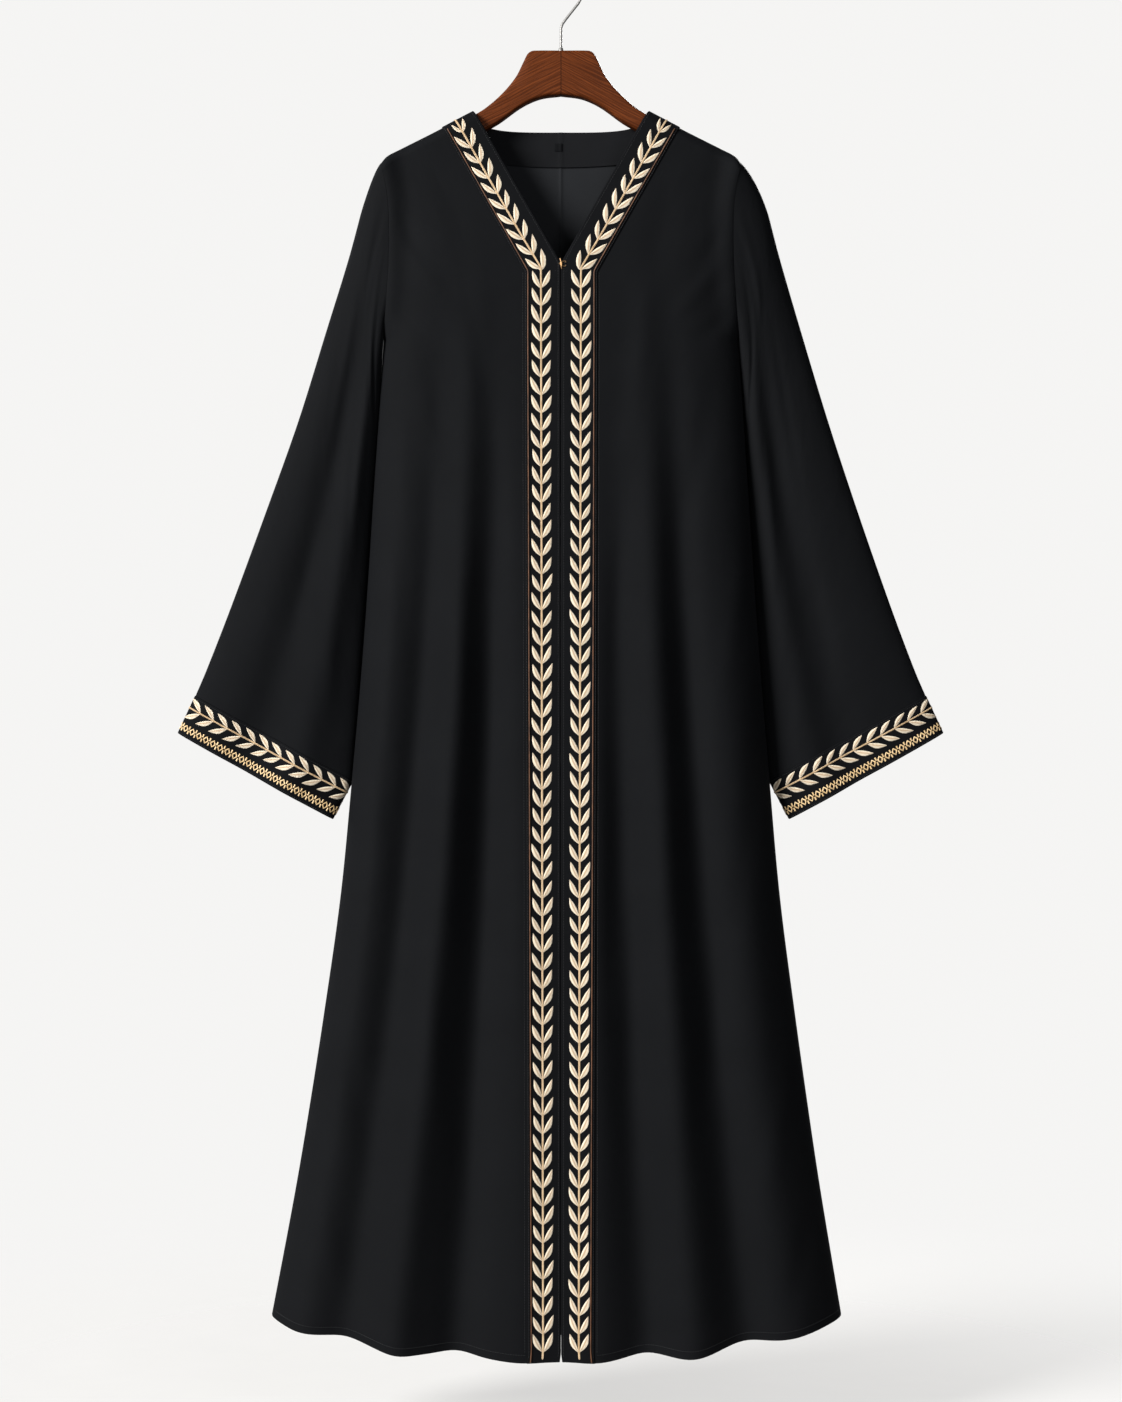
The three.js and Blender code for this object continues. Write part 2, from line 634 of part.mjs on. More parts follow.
function cuff(arm) {
  const surface = tubeSurface(arm, cuffPoint);
  return wall({ surface, us: TURNS, vs: CUFF_ROWS, outer: CUFF_STEP, inner: -CLOTH, tube: true });
}

// The facing inside the back neck: a strip that follows the neckline, just inside the back's inner side
const backOf = (side) => PANELS.find((panel) => panel.face === "back" && panel.side === side);

function backNeckZ(x) {
  const along = clampShare(Math.abs(x) / NECK_CORNER.x);
  return NECK_CORNER.z - BACK_NECK_DROP * Math.sqrt(1 - along ** 4);
}

const FACING_TOP_DROP = 1;
const FACING_COLUMNS = evenly(12, -1, 1);
const FACING_ROWS = [0, 0.35, 0.7, 1];

function facingPoint(u, v) {
  const x = u * FACING.halfWidth;
  const top = backNeckZ(x) - FACING_TOP_DROP;
  const foot = NECK_CORNER.z - BACK_NECK_DROP - FACING.depth;
  const z = mix(top, foot, v);
  return new THREE.Vector3(x, bodyDepth(backOf(x < 0 ? -1 : 1), x, z), z);
}

const facingSurface = {
  point: facingPoint,
  facing: 1,
  uRange: [-1, 1],
  vRange: [0, 1],
  armholeRun: () => null,
};

function neckFacing() {
  const outer = -(CLOTH + FACING.stand);
  const inner = outer - FACING_CLOTH;
  return wall({ surface: facingSurface, us: FACING_COLUMNS, vs: FACING_ROWS, outer, inner });
}

function neckTab() {
  const geometry = new THREE.BoxGeometry(TAB.width, TAB.thick, TAB.height);
  const z = NECK_CORNER.z - BACK_NECK_DROP - TAB.below - TAB.height / 2;
  const facingFront = bodyDepth(backOf(-1), TAB.x, z) - CLOTH - FACING.stand - FACING_CLOTH;
  geometry.translate(TAB.x, facingFront - SEAM_GAP - TAB.thick / 2, z);
  return geometry;
}

// The face of the band at the foot of the neckline, which the hook and eye lie on
const bandRestY = bodyDepth(PANELS[0], V_POINT.x, CLOSURE.z) + SEAM_GAP / 2;
const bandFaceY = -(bandRestY + SEAM_GAP + BAND_CLOTH);

// A wire loop sewn down on the wearer's left edge, which reaches just past the middle
function closureEye() {
  const y = bandFaceY - SEAM_GAP - EYE.wire;
  const half = EYE.height / 2;
  const loop = [
    { x: EYE.reach, z: half },
    { x: EYE.reach / 2, z: half * 0.9 },
    { x: 0, z: half * 0.7 },
    { x: -EYE.past, z: 0 },
    { x: 0, z: -half * 0.7 },
    { x: EYE.reach / 2, z: -half * 0.9 },
    { x: EYE.reach, z: -half },
  ];
  const places = loop.map(({ x, z }) => new THREE.Vector3(x, y, CLOSURE.z + z));
  return strand(places, EYE.wire, CORD_SIDES);
}

// A bent plate with a gentle S, standing in front of the eye
function closureHook() {
  const { lean, plate } = CLOSURE;
  const half = CLOSURE.height / 2;
  const wide = CLOSURE.width / 2;
  const shape = new THREE.Shape();
  shape.moveTo(-wide - lean, half);
  shape.quadraticCurveTo(-wide + lean, half / 2, -wide + lean / 2, 0);
  shape.quadraticCurveTo(-wide, -half / 2, -wide + lean, -half);
  shape.lineTo(wide + lean, -half);
  shape.quadraticCurveTo(wide, -half / 2, wide + lean / 2, 0);
  shape.quadraticCurveTo(wide + lean, half / 2, wide - lean, half);
  shape.closePath();
  const geometry = new THREE.ExtrudeGeometry(shape, {
    depth: plate,
    bevelEnabled: false,
    curveSegments: 4,
  });
  geometry.rotateX(Math.PI / 2);
  geometry.translate(0, bandFaceY - 2 * SEAM_GAP - 2 * EYE.wire, CLOSURE.z);
  return geometry;
}

const solidOf = (geometry) => {
  const bare = geometry.clone();
  bare.deleteAttribute("normal");
  bare.deleteAttribute("uv");
  const merged = mergeVertices(bare, 1e-3);
  return new wasm.Manifold(
    new wasm.Mesh({
      numProp: 3,
      vertProperties: merged.attributes.position.array,
      triVerts: new Uint32Array(merged.index.array),
    }),
  );
};

function geometryOf(solid) {
  const mesh = solid.getMesh();
  const geometry = new THREE.BufferGeometry();
  geometry.setAttribute("position", new THREE.BufferAttribute(new Float32Array(mesh.vertProperties), 3));
  geometry.setIndex(new THREE.BufferAttribute(new Uint32Array(mesh.triVerts), 1));
  geometry.computeVertexNormals();
  return geometry;
}

// The outline of one arm seen from the front, drawn inside its edges by the width of their rounding
const UPPER_EDGE_POINTS = 22;
const LOWER_EDGE_POINTS = 16;
const END_ARC = evenly(4, 60, -60);
const SHOULDER_EDGE_INSET = 3;

function armOutline() {
  const edge = (rows, count) => new THREE.SplineCurve(rows).getPoints(count);
  const middleX = ARM_EDGE_ROUND + ARM_GLUE_GAP;
  const upper = ARM_UPPER_EDGE.map(({ x, z }) => new THREE.Vector2(x, z - ARM_EDGE_ROUND));
  const lower = ARM_LOWER_EDGE.map(({ x, z }) => new THREE.Vector2(x, z + ARM_EDGE_ROUND));
  upper[0].x -= SHOULDER_EDGE_INSET;
  lower[lower.length - 1].x = middleX;
  const endRadius = ARM_END.radius - ARM_EDGE_ROUND;
  const end = END_ARC.map((degrees) => {
    const angle = THREE.MathUtils.degToRad(degrees);
    const reach = endRadius * Math.cos(angle);
    return new THREE.Vector2(ARM_END.x + reach, ARM_END.z + endRadius * Math.sin(angle));
  });
  return [
    new THREE.Vector2(middleX, ARM_TOP_Z - ARM_EDGE_ROUND),
    ...edge(upper, UPPER_EDGE_POINTS),
    ...end,
    ...edge(lower, LOWER_EDGE_POINTS),
  ];
}

// One arm of the hanger: a board with softened edges, half of the hook's hole and a flat glued face
function hangerArm(side) {
  const board = new THREE.ExtrudeGeometry(new THREE.Shape(armOutline()), {
    depth: ARM_THICK - 2 * ARM_EDGE_ROUND,
    bevelEnabled: true,
    bevelThickness: ARM_EDGE_ROUND,
    bevelSize: ARM_EDGE_ROUND,
    bevelSegments: 2,
  });
  board.rotateX(Math.PI / 2);
  board.translate(0, ARM_THICK / 2 - ARM_EDGE_ROUND, 0);
  const holeRadius = WIRE_RADIUS + SEAM_GAP;
  const hole = new THREE.CylinderGeometry(holeRadius, holeRadius, 2 * HOOK_HOLE_DEPTH, 16);
  hole.rotateX(Math.PI / 2);
  hole.translate(0, 0, ARM_TOP_Z);
  const beyond = { width: 60, depth: 3 * ARM_THICK, height: 200 };
  const otherSide = new THREE.BoxGeometry(beyond.width, beyond.depth, beyond.height);
  otherSide.translate(ARM_GLUE_GAP - beyond.width / 2, 0, ARM_TOP_Z);
  const geometry = geometryOf(solidOf(board).subtract(solidOf(hole)).subtract(solidOf(otherSide)));
  if (side < 0) {
    geometry.scale(-1, 1, 1);
    geometry.setIndex([...geometry.index.array].reverse());
  }
  geometry.computeVertexNormals();
  return geometry;
}

// The hook: a stem out of the wood, a slant to the right and three quarters of a turn back over the middle
function hangerHook() {
  const centreZ = -HOOK_RADIUS + WIRE_RADIUS;
  const onCircle = (degrees) => {
    const angle = THREE.MathUtils.degToRad(degrees);
    return new THREE.Vector3(HOOK_RADIUS * Math.cos(angle), 0, centreZ + HOOK_RADIUS * Math.sin(angle));
  };
  const arc = evenly(HOOK_ARC_STEPS, HOOK_SLANT_ANGLE, HOOK_TIP_ANGLE).map(onCircle);
  const stem = HOOK_STEM.map(({ x, z }) => new THREE.Vector3(x, 0, z));
  return strand([...stem, ...arc], WIRE_RADIUS, WIRE_SIDES);
}

function ferrule() {
  const inner = WIRE_RADIUS + SEAM_GAP;
  const low = ARM_TOP_Z + SEAM_GAP;
  const ring = [
    new THREE.Vector2(inner, low),
    new THREE.Vector2(FERRULE.radius, low),
    new THREE.Vector2(FERRULE.radius - FERRULE.taper, low + FERRULE.height),
    new THREE.Vector2(inner, low + FERRULE.height),
    new THREE.Vector2(inner, low),
  ];
  const geometry = new THREE.LatheGeometry(ring, FERRULE.sides);
  geometry.rotateX(Math.PI / 2);
  return geometry;
}

const robe = new THREE.Group();

function addPiece(name, geometry, colour) {
  const piece = new THREE.Mesh(geometry, new THREE.MeshStandardMaterial(COLOURS[colour]));
  piece.name = name;
  robe.add(piece);
}

for (const panel of PANELS) addPiece(panel.name, bodyPanel(panel), "crepe");
for (const panel of PANELS.filter(({ banded }) => banded)) {
  const hand = panel.side < 0 ? "right" : "left";
  addPiece(`front_band_${hand}`, frontBand(panel), "crepe");
  addPiece(`band_cord_${hand}`, cordedLine(panel), "cord");
}
for (const arm of ARMS) {
  addPiece(`sleeve_${arm.name}`, sleeve(arm), "crepe");
  addPiece(`cuff_${arm.name}`, cuff(arm), "crepe");
}
addPiece("back_neck_facing", neckFacing(), "crepe");
addPiece("neck_tab", neckTab(), "crepe");
addPiece("closure_eye", closureEye(), "bronze");
addPiece("closure_hook", closureHook(), "bronze");
addPiece("hanger_arm_right", hangerArm(-1), "wood");
addPiece("hanger_arm_left", hangerArm(1), "wood");
addPiece("hanger_hook", hangerHook(), "steel");
addPiece("hanger_ferrule", ferrule(), "steel");

export default robe;
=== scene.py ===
# %% [markdown]
# # A black crepe robe on a wooden hanger
# A solid model gives the robe's form and size. This notebook dresses it: thin cloth in place of the solid
# walls, the embroidery that is sewn on it, a hanger with wood grain, and the light and camera.
# Tables and formulas are in millimetres, as a pattern maker writes them, and meshes are in metres.
# +X is the wearer's left, +Y the back and +Z up. The origin is where the hook bears on its rail.

import json
import math
from types import SimpleNamespace

import bmesh
import bpy
import numpy as np
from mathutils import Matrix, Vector

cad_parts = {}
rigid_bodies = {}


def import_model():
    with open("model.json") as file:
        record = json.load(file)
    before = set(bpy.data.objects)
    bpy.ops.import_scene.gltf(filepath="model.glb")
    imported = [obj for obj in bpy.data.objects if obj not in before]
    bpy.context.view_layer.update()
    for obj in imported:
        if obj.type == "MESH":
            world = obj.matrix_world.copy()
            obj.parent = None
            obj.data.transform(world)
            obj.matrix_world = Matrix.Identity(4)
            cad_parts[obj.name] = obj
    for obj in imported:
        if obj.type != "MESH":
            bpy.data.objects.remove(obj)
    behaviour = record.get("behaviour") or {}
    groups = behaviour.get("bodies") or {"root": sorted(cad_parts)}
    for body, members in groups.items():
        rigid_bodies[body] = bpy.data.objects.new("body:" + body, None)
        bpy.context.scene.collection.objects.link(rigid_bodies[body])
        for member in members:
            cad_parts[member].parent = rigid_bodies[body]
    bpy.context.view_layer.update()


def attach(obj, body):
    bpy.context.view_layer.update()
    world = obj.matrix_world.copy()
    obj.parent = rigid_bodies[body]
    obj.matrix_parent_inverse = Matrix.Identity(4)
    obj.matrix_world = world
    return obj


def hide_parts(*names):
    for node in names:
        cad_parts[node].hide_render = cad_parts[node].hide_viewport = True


scene = bpy.context.scene
for thing in list(bpy.data.objects):
    bpy.data.objects.remove(thing)
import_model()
MM = 0.001

# %% [markdown]
# ## Shaping by tables
# A smooth curve through a few named measures is how a pattern maker draws an edge. The helper below takes a
# table's rows and draws that curve, so each edge of the robe is a short list of measures instead of a mesh.

# %% Curves through tables


def table(columns, *rows):
    names = columns.split()
    return {name: np.array([row[i] for row in rows], float) for i, name in enumerate(names)}


def fold_table(*rows):
    """Each fold's middle at the top and at the hem and its spread, as shares of the panel's half width, how
    far it stands out, and the heights where it starts and where it is full"""
    return table("top hem rise spread start full", *rows)


def crease_table(*rows):
    return table("x z length lean depth width", *rows)


def mix(a, b, t):
    return a + (b - a) * t


def unit(vectors):
    return vectors / np.linalg.norm(vectors, axis=-1, keepdims=True)


def ease(t):
    t = np.clip(t, 0, 1)
    return t * t * (3 - 2 * t)


def line_through(rows, along, value):
    xs, ys = rows[along], rows[value]
    if xs[0] > xs[-1]:
        xs, ys = xs[::-1], ys[::-1]
    before = np.maximum(np.arange(len(xs)) - 1, 0)
    after = np.minimum(np.arange(len(xs)) + 1, len(xs) - 1)
    slopes = (ys[after] - ys[before]) / (xs[after] - xs[before])

    def at(x):
        x = np.clip(x, xs[0], xs[-1])
        i = np.clip(np.searchsorted(xs, x, side="right") - 1, 0, len(xs) - 2)
        span = xs[i + 1] - xs[i]
        t = (x - xs[i]) / span
        t2, t3 = t * t, t * t * t
        ends = mix(ys[i], ys[i + 1], 3 * t2 - 2 * t3)
        return ends + span * ((t3 - 2 * t2 + t) * slopes[i] + (t3 - t2) * slopes[i + 1])

    return at


# %% [markdown]
# ## The body's form
# The fronts and backs hang from the hanger's top edge. Each is described by where its cloth lies seen from
# the front, and by how far it stands off the middle plane there: a flattened shell with long soft folds that
# grow towards the hem. The numbers are those of the solid model, so cloth and solid agree.

# %% Measures of the body
NECK_CORNER, SHOULDER_POINT = (100.0, -160.0), (205.0, -219.0)
NECK_TURN, V_POINT = (92.5, -172.0), (0.15, -336.5)
UNDERARM_Z, HEM_Z = -421.0, -1568.0
HEM_SIDE_RISE, HEM_DIP_SHARE = 39, 0.27
LEFT_NARROWER, LEFT_NARROWER_START = 11, -700
HEM_PARTING, HEM_PARTING_HEIGHT = 1.2, 10.0
BACK_NECK_DROP, BACK_NECK_SHARE = 19.6, 0.26
BAND_WIDTH, BAND_HEM_WIDTH = 41.0, 36.5
BAND_SHOULDER_END = (135.5, -178.5)
CORD_SHARE = 0.905
SHOULDER_ROUND, SIDE_SQUARENESS = 14.0, 5
ARMHOLE_DEPTH, ARMHOLE_FOOT, ARMHOLE_REACH = 20.0, 62.0, 0.82
HALF_GAP = 0.15
SEAM_GROOVE, SEAM_HALF_WIDTH = 0.7, 1.6
NECK_RISE = 0.52
CREASE_FREE, FADE_FROM_BAND, FADE_FROM_SEAM = 4, 20, 14

SHOULDER_LINE = table("x z", (100, -160), (146, -184), (183, -202.5), (198, -211), (205, -219))
SIDE_LINE = table(
    "z half",
    (-219, 205), (-245, 199), (-275, 195.5), (-330, 195.5), (-380, 198.5), (-421, 202), (-603, 214),
    (-704, 220.5), (-804, 228), (-917, 238), (-1051, 251), (-1183, 269.5), (-1314, 290), (-1401, 305),
    (-1538, 331),
)
BODY_DEPTH = table(
    "z front back",
    (-160, 19, 19), (-219, 21, 20), (-330, 32, 27), (-480, 38, 33), (-700, 44, 40), (-1000, 53, 49),
    (-1300, 62, 57), (-1568, 70, 64),
)
FOLDS = {
    "front_right": fold_table(
        (0.2, 0.135, 5, 0.08, -420, -1300),
        (0.367, 0.352, -16, 0.08, -300, -1050),
        (0.5, 0.555, 13, 0.075, -250, -1000),
        (0.676, 0.732, -13, 0.075, -290, -1000),
        (0.86, 0.895, 8, 0.07, -330, -900),
    ),
    "front_left": fold_table(
        (0.2, 0.12, 5, 0.07, -520, -1250),
        (0.28, 0.296, -14, 0.08, -400, -1150),
        (0.47, 0.467, 13, 0.085, -280, -1050),
        (0.613, 0.645, -14, 0.085, -270, -900),
        (0.86, 0.83, 8, 0.1, -400, -1200),
    ),
    "back_right": fold_table(
        (0.12, 0.1, 7, 0.08, -420, -1250),
        (0.31, 0.3, -14, 0.09, -300, -1050),
        (0.52, 0.54, 12, 0.085, -340, -1100),
        (0.74, 0.76, -10, 0.075, -300, -950),
    ),
    "back_left": fold_table(
        (0.14, 0.16, -12, 0.09, -360, -1150),
        (0.36, 0.35, 12, 0.08, -300, -1000),
        (0.57, 0.56, -14, 0.085, -260, -1050),
        (0.8, 0.78, 9, 0.08, -380, -1150),
    ),
}

# %% [markdown]
# ## Small creases
# Big folds alone look like sheet metal. Real crepe also has short shallow creases: pulls that fan out from
# the armhole, a slack line across a panel, soft dents where the cloth was folded. Each is listed as a
# trough (or a ridge, where its depth is negative) with its own length, lean and width, all in millimetres.

# %% Tables of creases
CREASES = {
    "front_right": crease_table(
        (172, -300, 120, 62, 1.8, 9), (158, -345, 150, 52, -1.6, 11), (181, -392, 130, 40, 2.2, 10),
        (120, -285, 170, 74, 1.2, 14), (95, -430, 240, 82, 1.6, 12), (150, -520, 260, 76, -1.8, 14),
        (70, -640, 320, 88, 1.4, 11), (188, -640, 300, 84, 1.6, 13), (110, -820, 360, 86, -1.6, 13),
        (205, -900, 340, 80, 1.8, 15), (62, -1050, 380, 89, 1.5, 12), (150, -1180, 420, 84, -2.0, 16),
        (238, -1240, 360, 76, 2.2, 17), (95, -1400, 300, 87, 1.8, 13), (265, -1430, 260, 72, -2.0, 15),
    ),
    "front_left": crease_table(
        (176, -310, 130, 58, 1.6, 10), (160, -362, 150, 48, -1.8, 11), (184, -400, 120, 38, 2.0, 10),
        (112, -300, 190, 78, 1.2, 15), (88, -450, 260, 84, -1.5, 12), (155, -560, 280, 78, 1.8, 14),
        (66, -700, 300, 87, 1.5, 11), (200, -720, 300, 80, -1.6, 13), (105, -900, 380, 88, 1.6, 13),
        (212, -980, 340, 82, 1.8, 15), (70, -1120, 360, 88, -1.5, 12), (165, -1230, 400, 83, 2.0, 16),
        (250, -1290, 340, 77, -2.2, 16), (110, -1430, 280, 86, 1.8, 13), (275, -1450, 240, 74, 1.8, 14),
    ),
    "back_right": crease_table(
        (168, -320, 150, 56, 2.0, 10), (140, -372, 170, 46, -1.6, 12), (182, -410, 120, 36, 2.0, 10),
        (60, -260, 160, 80, 1.4, 16), (100, -520, 280, 82, 1.7, 13), (50, -720, 340, 88, -1.6, 12),
        (170, -800, 320, 80, 1.8, 14), (90, -1020, 380, 86, 1.8, 14), (210, -1150, 360, 79, -2.0, 16),
        (60, -1320, 340, 88, 1.7, 13), (240, -1400, 280, 75, 2.0, 15),
    ),
    "back_left": crease_table(
        (172, -332, 140, 60, 1.8, 10), (146, -388, 160, 50, -1.8, 12), (185, -405, 120, 36, 2.0, 10),
        (52, -280, 170, 82, 1.4, 16), (118, -560, 300, 80, -1.7, 13), (64, -780, 330, 87, 1.6, 12),
        (178, -860, 320, 79, 1.8, 14), (82, -1080, 380, 87, -1.8, 14), (215, -1200, 350, 78, 2.0, 16),
        (75, -1380, 320, 88, 1.8, 13), (250, -1430, 260, 74, -2.0, 15),
    ),
}


def creased(creases, across, up):
    """The height that the creases add at a place, given by its distances across and up in millimetres"""
    total = 0
    for i in range(len(creases["depth"])):
        x, z, length, lean, depth, width = [creases[name][i] for name in creases]
        turn = math.radians(lean)
        along = (across - x) * math.cos(turn) + (up - z) * math.sin(turn)
        aside = (up - z) * math.cos(turn) - (across - x) * math.sin(turn)
        reach = np.clip(1 - (2 * along / length) ** 2, 0, 1) ** 2
        total = total - depth * reach * np.exp(-((aside / width) ** 2))
    return total


print("creases on the body:", sum(len(rows["depth"]) for rows in CREASES.values()))

# %% The form of a front or a back
side_half = line_through(SIDE_LINE, "z", "half")
shoulder_curve = line_through(SHOULDER_LINE, "x", "z")
face_depth = {face: line_through(BODY_DEPTH, "z", face) for face in ("front", "back")}


def shoulder_z(x):
    up_neck = NECK_CORNER[1] + (NECK_CORNER[0] - x) * NECK_RISE
    return np.where(x >= NECK_CORNER[0], shoulder_curve(x), up_neck)


def fold_rise(folds, share, z):
    lowered = ease((UNDERARM_Z - z) / (UNDERARM_Z - HEM_Z))
    total = 0
    for i in range(len(folds["rise"])):
        centre = mix(folds["top"][i], folds["hem"][i], lowered)
        grown = ease((folds["start"][i] - z) / (folds["start"][i] - folds["full"][i]))
        total = total + folds["rise"][i] * grown * np.exp(-(((share - centre) / folds["spread"][i]) ** 2))
    return total


def armhole_depth(z):
    closing = np.clip((UNDERARM_Z + ARMHOLE_FOOT - z) / ARMHOLE_FOOT, 0, 1)
    return ARMHOLE_DEPTH * np.sqrt(1 - closing**2)


def shoulder_fall(x, z):
    above = 1 - np.clip((shoulder_z(x) - z) / SHOULDER_ROUND, 0, 1)
    return np.sqrt(1 - above**2)


def panel_half(panel, z):
    low = np.clip((LEFT_NARROWER_START - z) / (LEFT_NARROWER_START - HEM_Z), 0, 1)
    return side_half(z) - (LEFT_NARROWER * low**2 if panel.side > 0 else 0)


def body_depth(panel, x, z):
    share = np.minimum(1, np.abs(x) / panel_half(panel, z))
    hole = armhole_depth(z) * ease((share - ARMHOLE_REACH) / (1 - ARMHOLE_REACH))
    stand_off = face_depth[panel.face](z) + fold_rise(panel.folds, share, z)
    if panel.banded:
        free = ease((np.abs(x) - BAND_WIDTH - CREASE_FREE) / FADE_FROM_BAND)
    else:
        free = ease((np.abs(x) - CREASE_FREE) / FADE_FROM_SEAM)
    stand_off = stand_off + creased(panel.creases, np.abs(x), z) * free
    if not panel.banded:
        stand_off = stand_off - SEAM_GROOVE * np.exp(-((x / SEAM_HALF_WIDTH) ** 2))
    return np.hypot(stand_off * np.sqrt(1 - share**SIDE_SQUARENESS), hole) * shoulder_fall(np.abs(x), z)


# %% Where a panel's cloth lies
V_ROW = (NECK_CORNER[1] - V_POINT[1]) / (NECK_CORNER[1] - UNDERARM_Z)
NECK_TILT = math.atan2(NECK_TURN[0] - V_POINT[0], NECK_TURN[1] - V_POINT[1])
BAND_CORNER = (V_POINT[0] + BAND_WIDTH, V_POINT[1] - BAND_WIDTH * math.tan(NECK_TILT / 2))


def front_inner_edge(v):
    z = mix(NECK_CORNER[1], UNDERARM_Z, v)
    at_corner = np.clip((NECK_CORNER[1] - z) / (NECK_CORNER[1] - NECK_TURN[1]), 0, 1)
    down_neck = np.clip((NECK_TURN[1] - z) / (NECK_TURN[1] - V_POINT[1]), 0, 1)
    x = NECK_CORNER[0] + (NECK_TURN[0] - NECK_CORNER[0]) * at_corner + (V_POINT[0] - NECK_TURN[0]) * down_neck
    return x, z


def back_inner_edge(v):
    along = np.clip(1 - v / BACK_NECK_SHARE, 0, 1)
    middle = NECK_CORNER[1] - BACK_NECK_DROP
    below = np.clip((v - BACK_NECK_SHARE) / (1 - BACK_NECK_SHARE), 0, 1)
    scoop = NECK_CORNER[1] - BACK_NECK_DROP * np.sqrt(1 - along**4)
    return NECK_CORNER[0] * along, np.where(along > 0, scoop, mix(middle, UNDERARM_Z, below))


def band_outer_edge(v):
    t = np.clip(v / V_ROW, 0, 1)
    below = np.clip((v - V_ROW) / (1 - V_ROW), 0, 1)
    z = mix(BAND_SHOULDER_END[1], BAND_CORNER[1], t)
    return mix(BAND_SHOULDER_END[0], BAND_CORNER[0], t), z + (UNDERARM_Z - BAND_CORNER[1]) * below


def between(a, b, t):
    return mix(a[0], b[0], t), mix(a[1], b[1], t)


def through(first, middle, last, across):
    """A place on two straight runs: the first point at 0, the middle one at 1 and the last at 2"""
    near = between(first, middle, np.clip(across, 0, 1))
    far = between(middle, last, np.clip(across - 1, 0, 1))
    return np.where(across <= 1, near[0], far[0]), np.where(across <= 1, near[1], far[1])


def upper_place(panel, across, down):
    inner = panel.inner_edge(down)
    outer_z = mix(SHOULDER_POINT[1], UNDERARM_Z, down)
    outer = side_half(outer_z), outer_z
    top_inner = panel.inner_edge(np.zeros_like(down))
    if panel.banded:
        place = through(inner, band_outer_edge(down), outer, across)
        top = through(top_inner, BAND_SHOULDER_END, SHOULDER_POINT, across)
    else:
        place, top = between(inner, outer, across / 2), between(top_inner, SHOULDER_POINT, across / 2)
    return place[0], place[1] + (shoulder_z(top[0]) - top[1]) * (1 - down)


def lower_place(panel, across, low):
    level = mix(UNDERARM_Z, HEM_Z, low)
    half = panel_half(panel, level)
    parting = HEM_PARTING * ease((HEM_Z + HEM_PARTING_HEIGHT - level) / HEM_PARTING_HEIGHT)
    inner_x = panel.inner_edge(np.ones_like(low))[0] + (parting if panel.banded else 0)
    x = mix(inner_x, half, across / 2)
    if panel.banded:
        band_x = inner_x + mix(BAND_WIDTH, BAND_HEM_WIDTH, low)
        x = np.where(across <= 1, mix(inner_x, band_x, across), mix(band_x, half, across - 1))
    share = x / half
    dip = HEM_DIP_SHARE * fold_rise(panel.folds, share, HEM_Z) * low**6
    z = level + HEM_SIDE_RISE * share**2 * low * low - dip
    return share * panel_half(panel, z), z


def panel_place(panel, across, down):
    """across: 0 inner edge, 1 band's edge, 2 armhole or side seam. down: 0 shoulder, 1 underarm, 2 hem"""
    across, down = np.broadcast_arrays(np.asarray(across, float), np.asarray(down, float))
    high = upper_place(panel, across, np.clip(down, 0, 1))
    low = lower_place(panel, across, np.clip(down - 1, 0, 1))
    return np.where(down <= 1, high[0], low[0]), np.where(down <= 1, high[1], low[1])


def on_panel(panel, x, z, lift=0.0):
    """A point on a panel's face, lifted square off it, for a place seen from the front"""
    step = 0.5
    depth = body_depth(panel, x, z)
    slope_x = (body_depth(panel, x + step, z) - body_depth(panel, x - step, z)) / (2 * step)
    slope_z = (body_depth(panel, x, z + step) - body_depth(panel, x, z - step)) / (2 * step)
    out = lift / np.sqrt(1 + slope_x**2 + slope_z**2)
    points = [panel.side * (x - out * slope_x), panel.toward * (depth + HALF_GAP + out), z - out * slope_z]
    return np.stack(np.broadcast_arrays(*points), -1)


def panel_point(panel, across, down):
    x, z = panel_place(panel, across, down)
    return np.stack([panel.side * x, panel.toward * (body_depth(panel, x, z) + HALF_GAP), z], -1)


PANELS = {}
for face in ("front", "back"):
    for hand, side in (("right", -1), ("left", 1)):
        name, banded = f"{face}_{hand}", face == "front"
        PANELS[name] = SimpleNamespace(
            name=name, hand=hand, side=side, face=face, toward=-1 if banded else 1, banded=banded,
            folds=FOLDS[name], creases=CREASES[name],
            inner_edge=front_inner_edge if banded else back_inner_edge,
        )
print("panels:", ", ".join(PANELS))

# %% [markdown]
# ## Sheets of cloth
# A surface is a function of two numbers, such as across and down. Its outward direction comes from two short
# steps over it, and a sheet of cloth is two copies of the surface a cloth's thickness apart, joined round the
# rim. That gives each panel a real edge at the hem and neck. Its UV map is the real length in metres, so that
# weave and stitches keep their size wherever the cloth goes.

# %% Surfaces and sheets
STEP, ON_SEAM, CLOTH_SHARP = 0.002, 0.4, 55


def either_side(share, limits):
    return np.maximum(share - STEP, limits[0]), np.minimum(share + STEP, limits[1])


def outward_at(surface, u, v):
    """The direction that points off the cloth at a place"""
    (u_low, u_high), (v_low, v_high) = either_side(u, surface.u_range), either_side(v, surface.v_range)
    along = surface.point(u_high, v) - surface.point(u_low, v)
    down = surface.point(u, v_high) - surface.point(u, v_low)
    out = np.cross(along, down) * surface.facing
    at_seam = np.abs(surface.point(u, v)[..., 1]) < ON_SEAM
    out[..., 1] = np.where(at_seam & surface.meets_twin, 0, out[..., 1])
    return out / np.maximum(np.linalg.norm(out, axis=-1, keepdims=True), 1e-9)


def spot(surface, u, v, lift):
    u, v = np.broadcast_arrays(np.asarray(u, float), np.asarray(v, float))
    return surface.point(u, v) + outward_at(surface, u, v) * np.asarray(lift)[..., None]


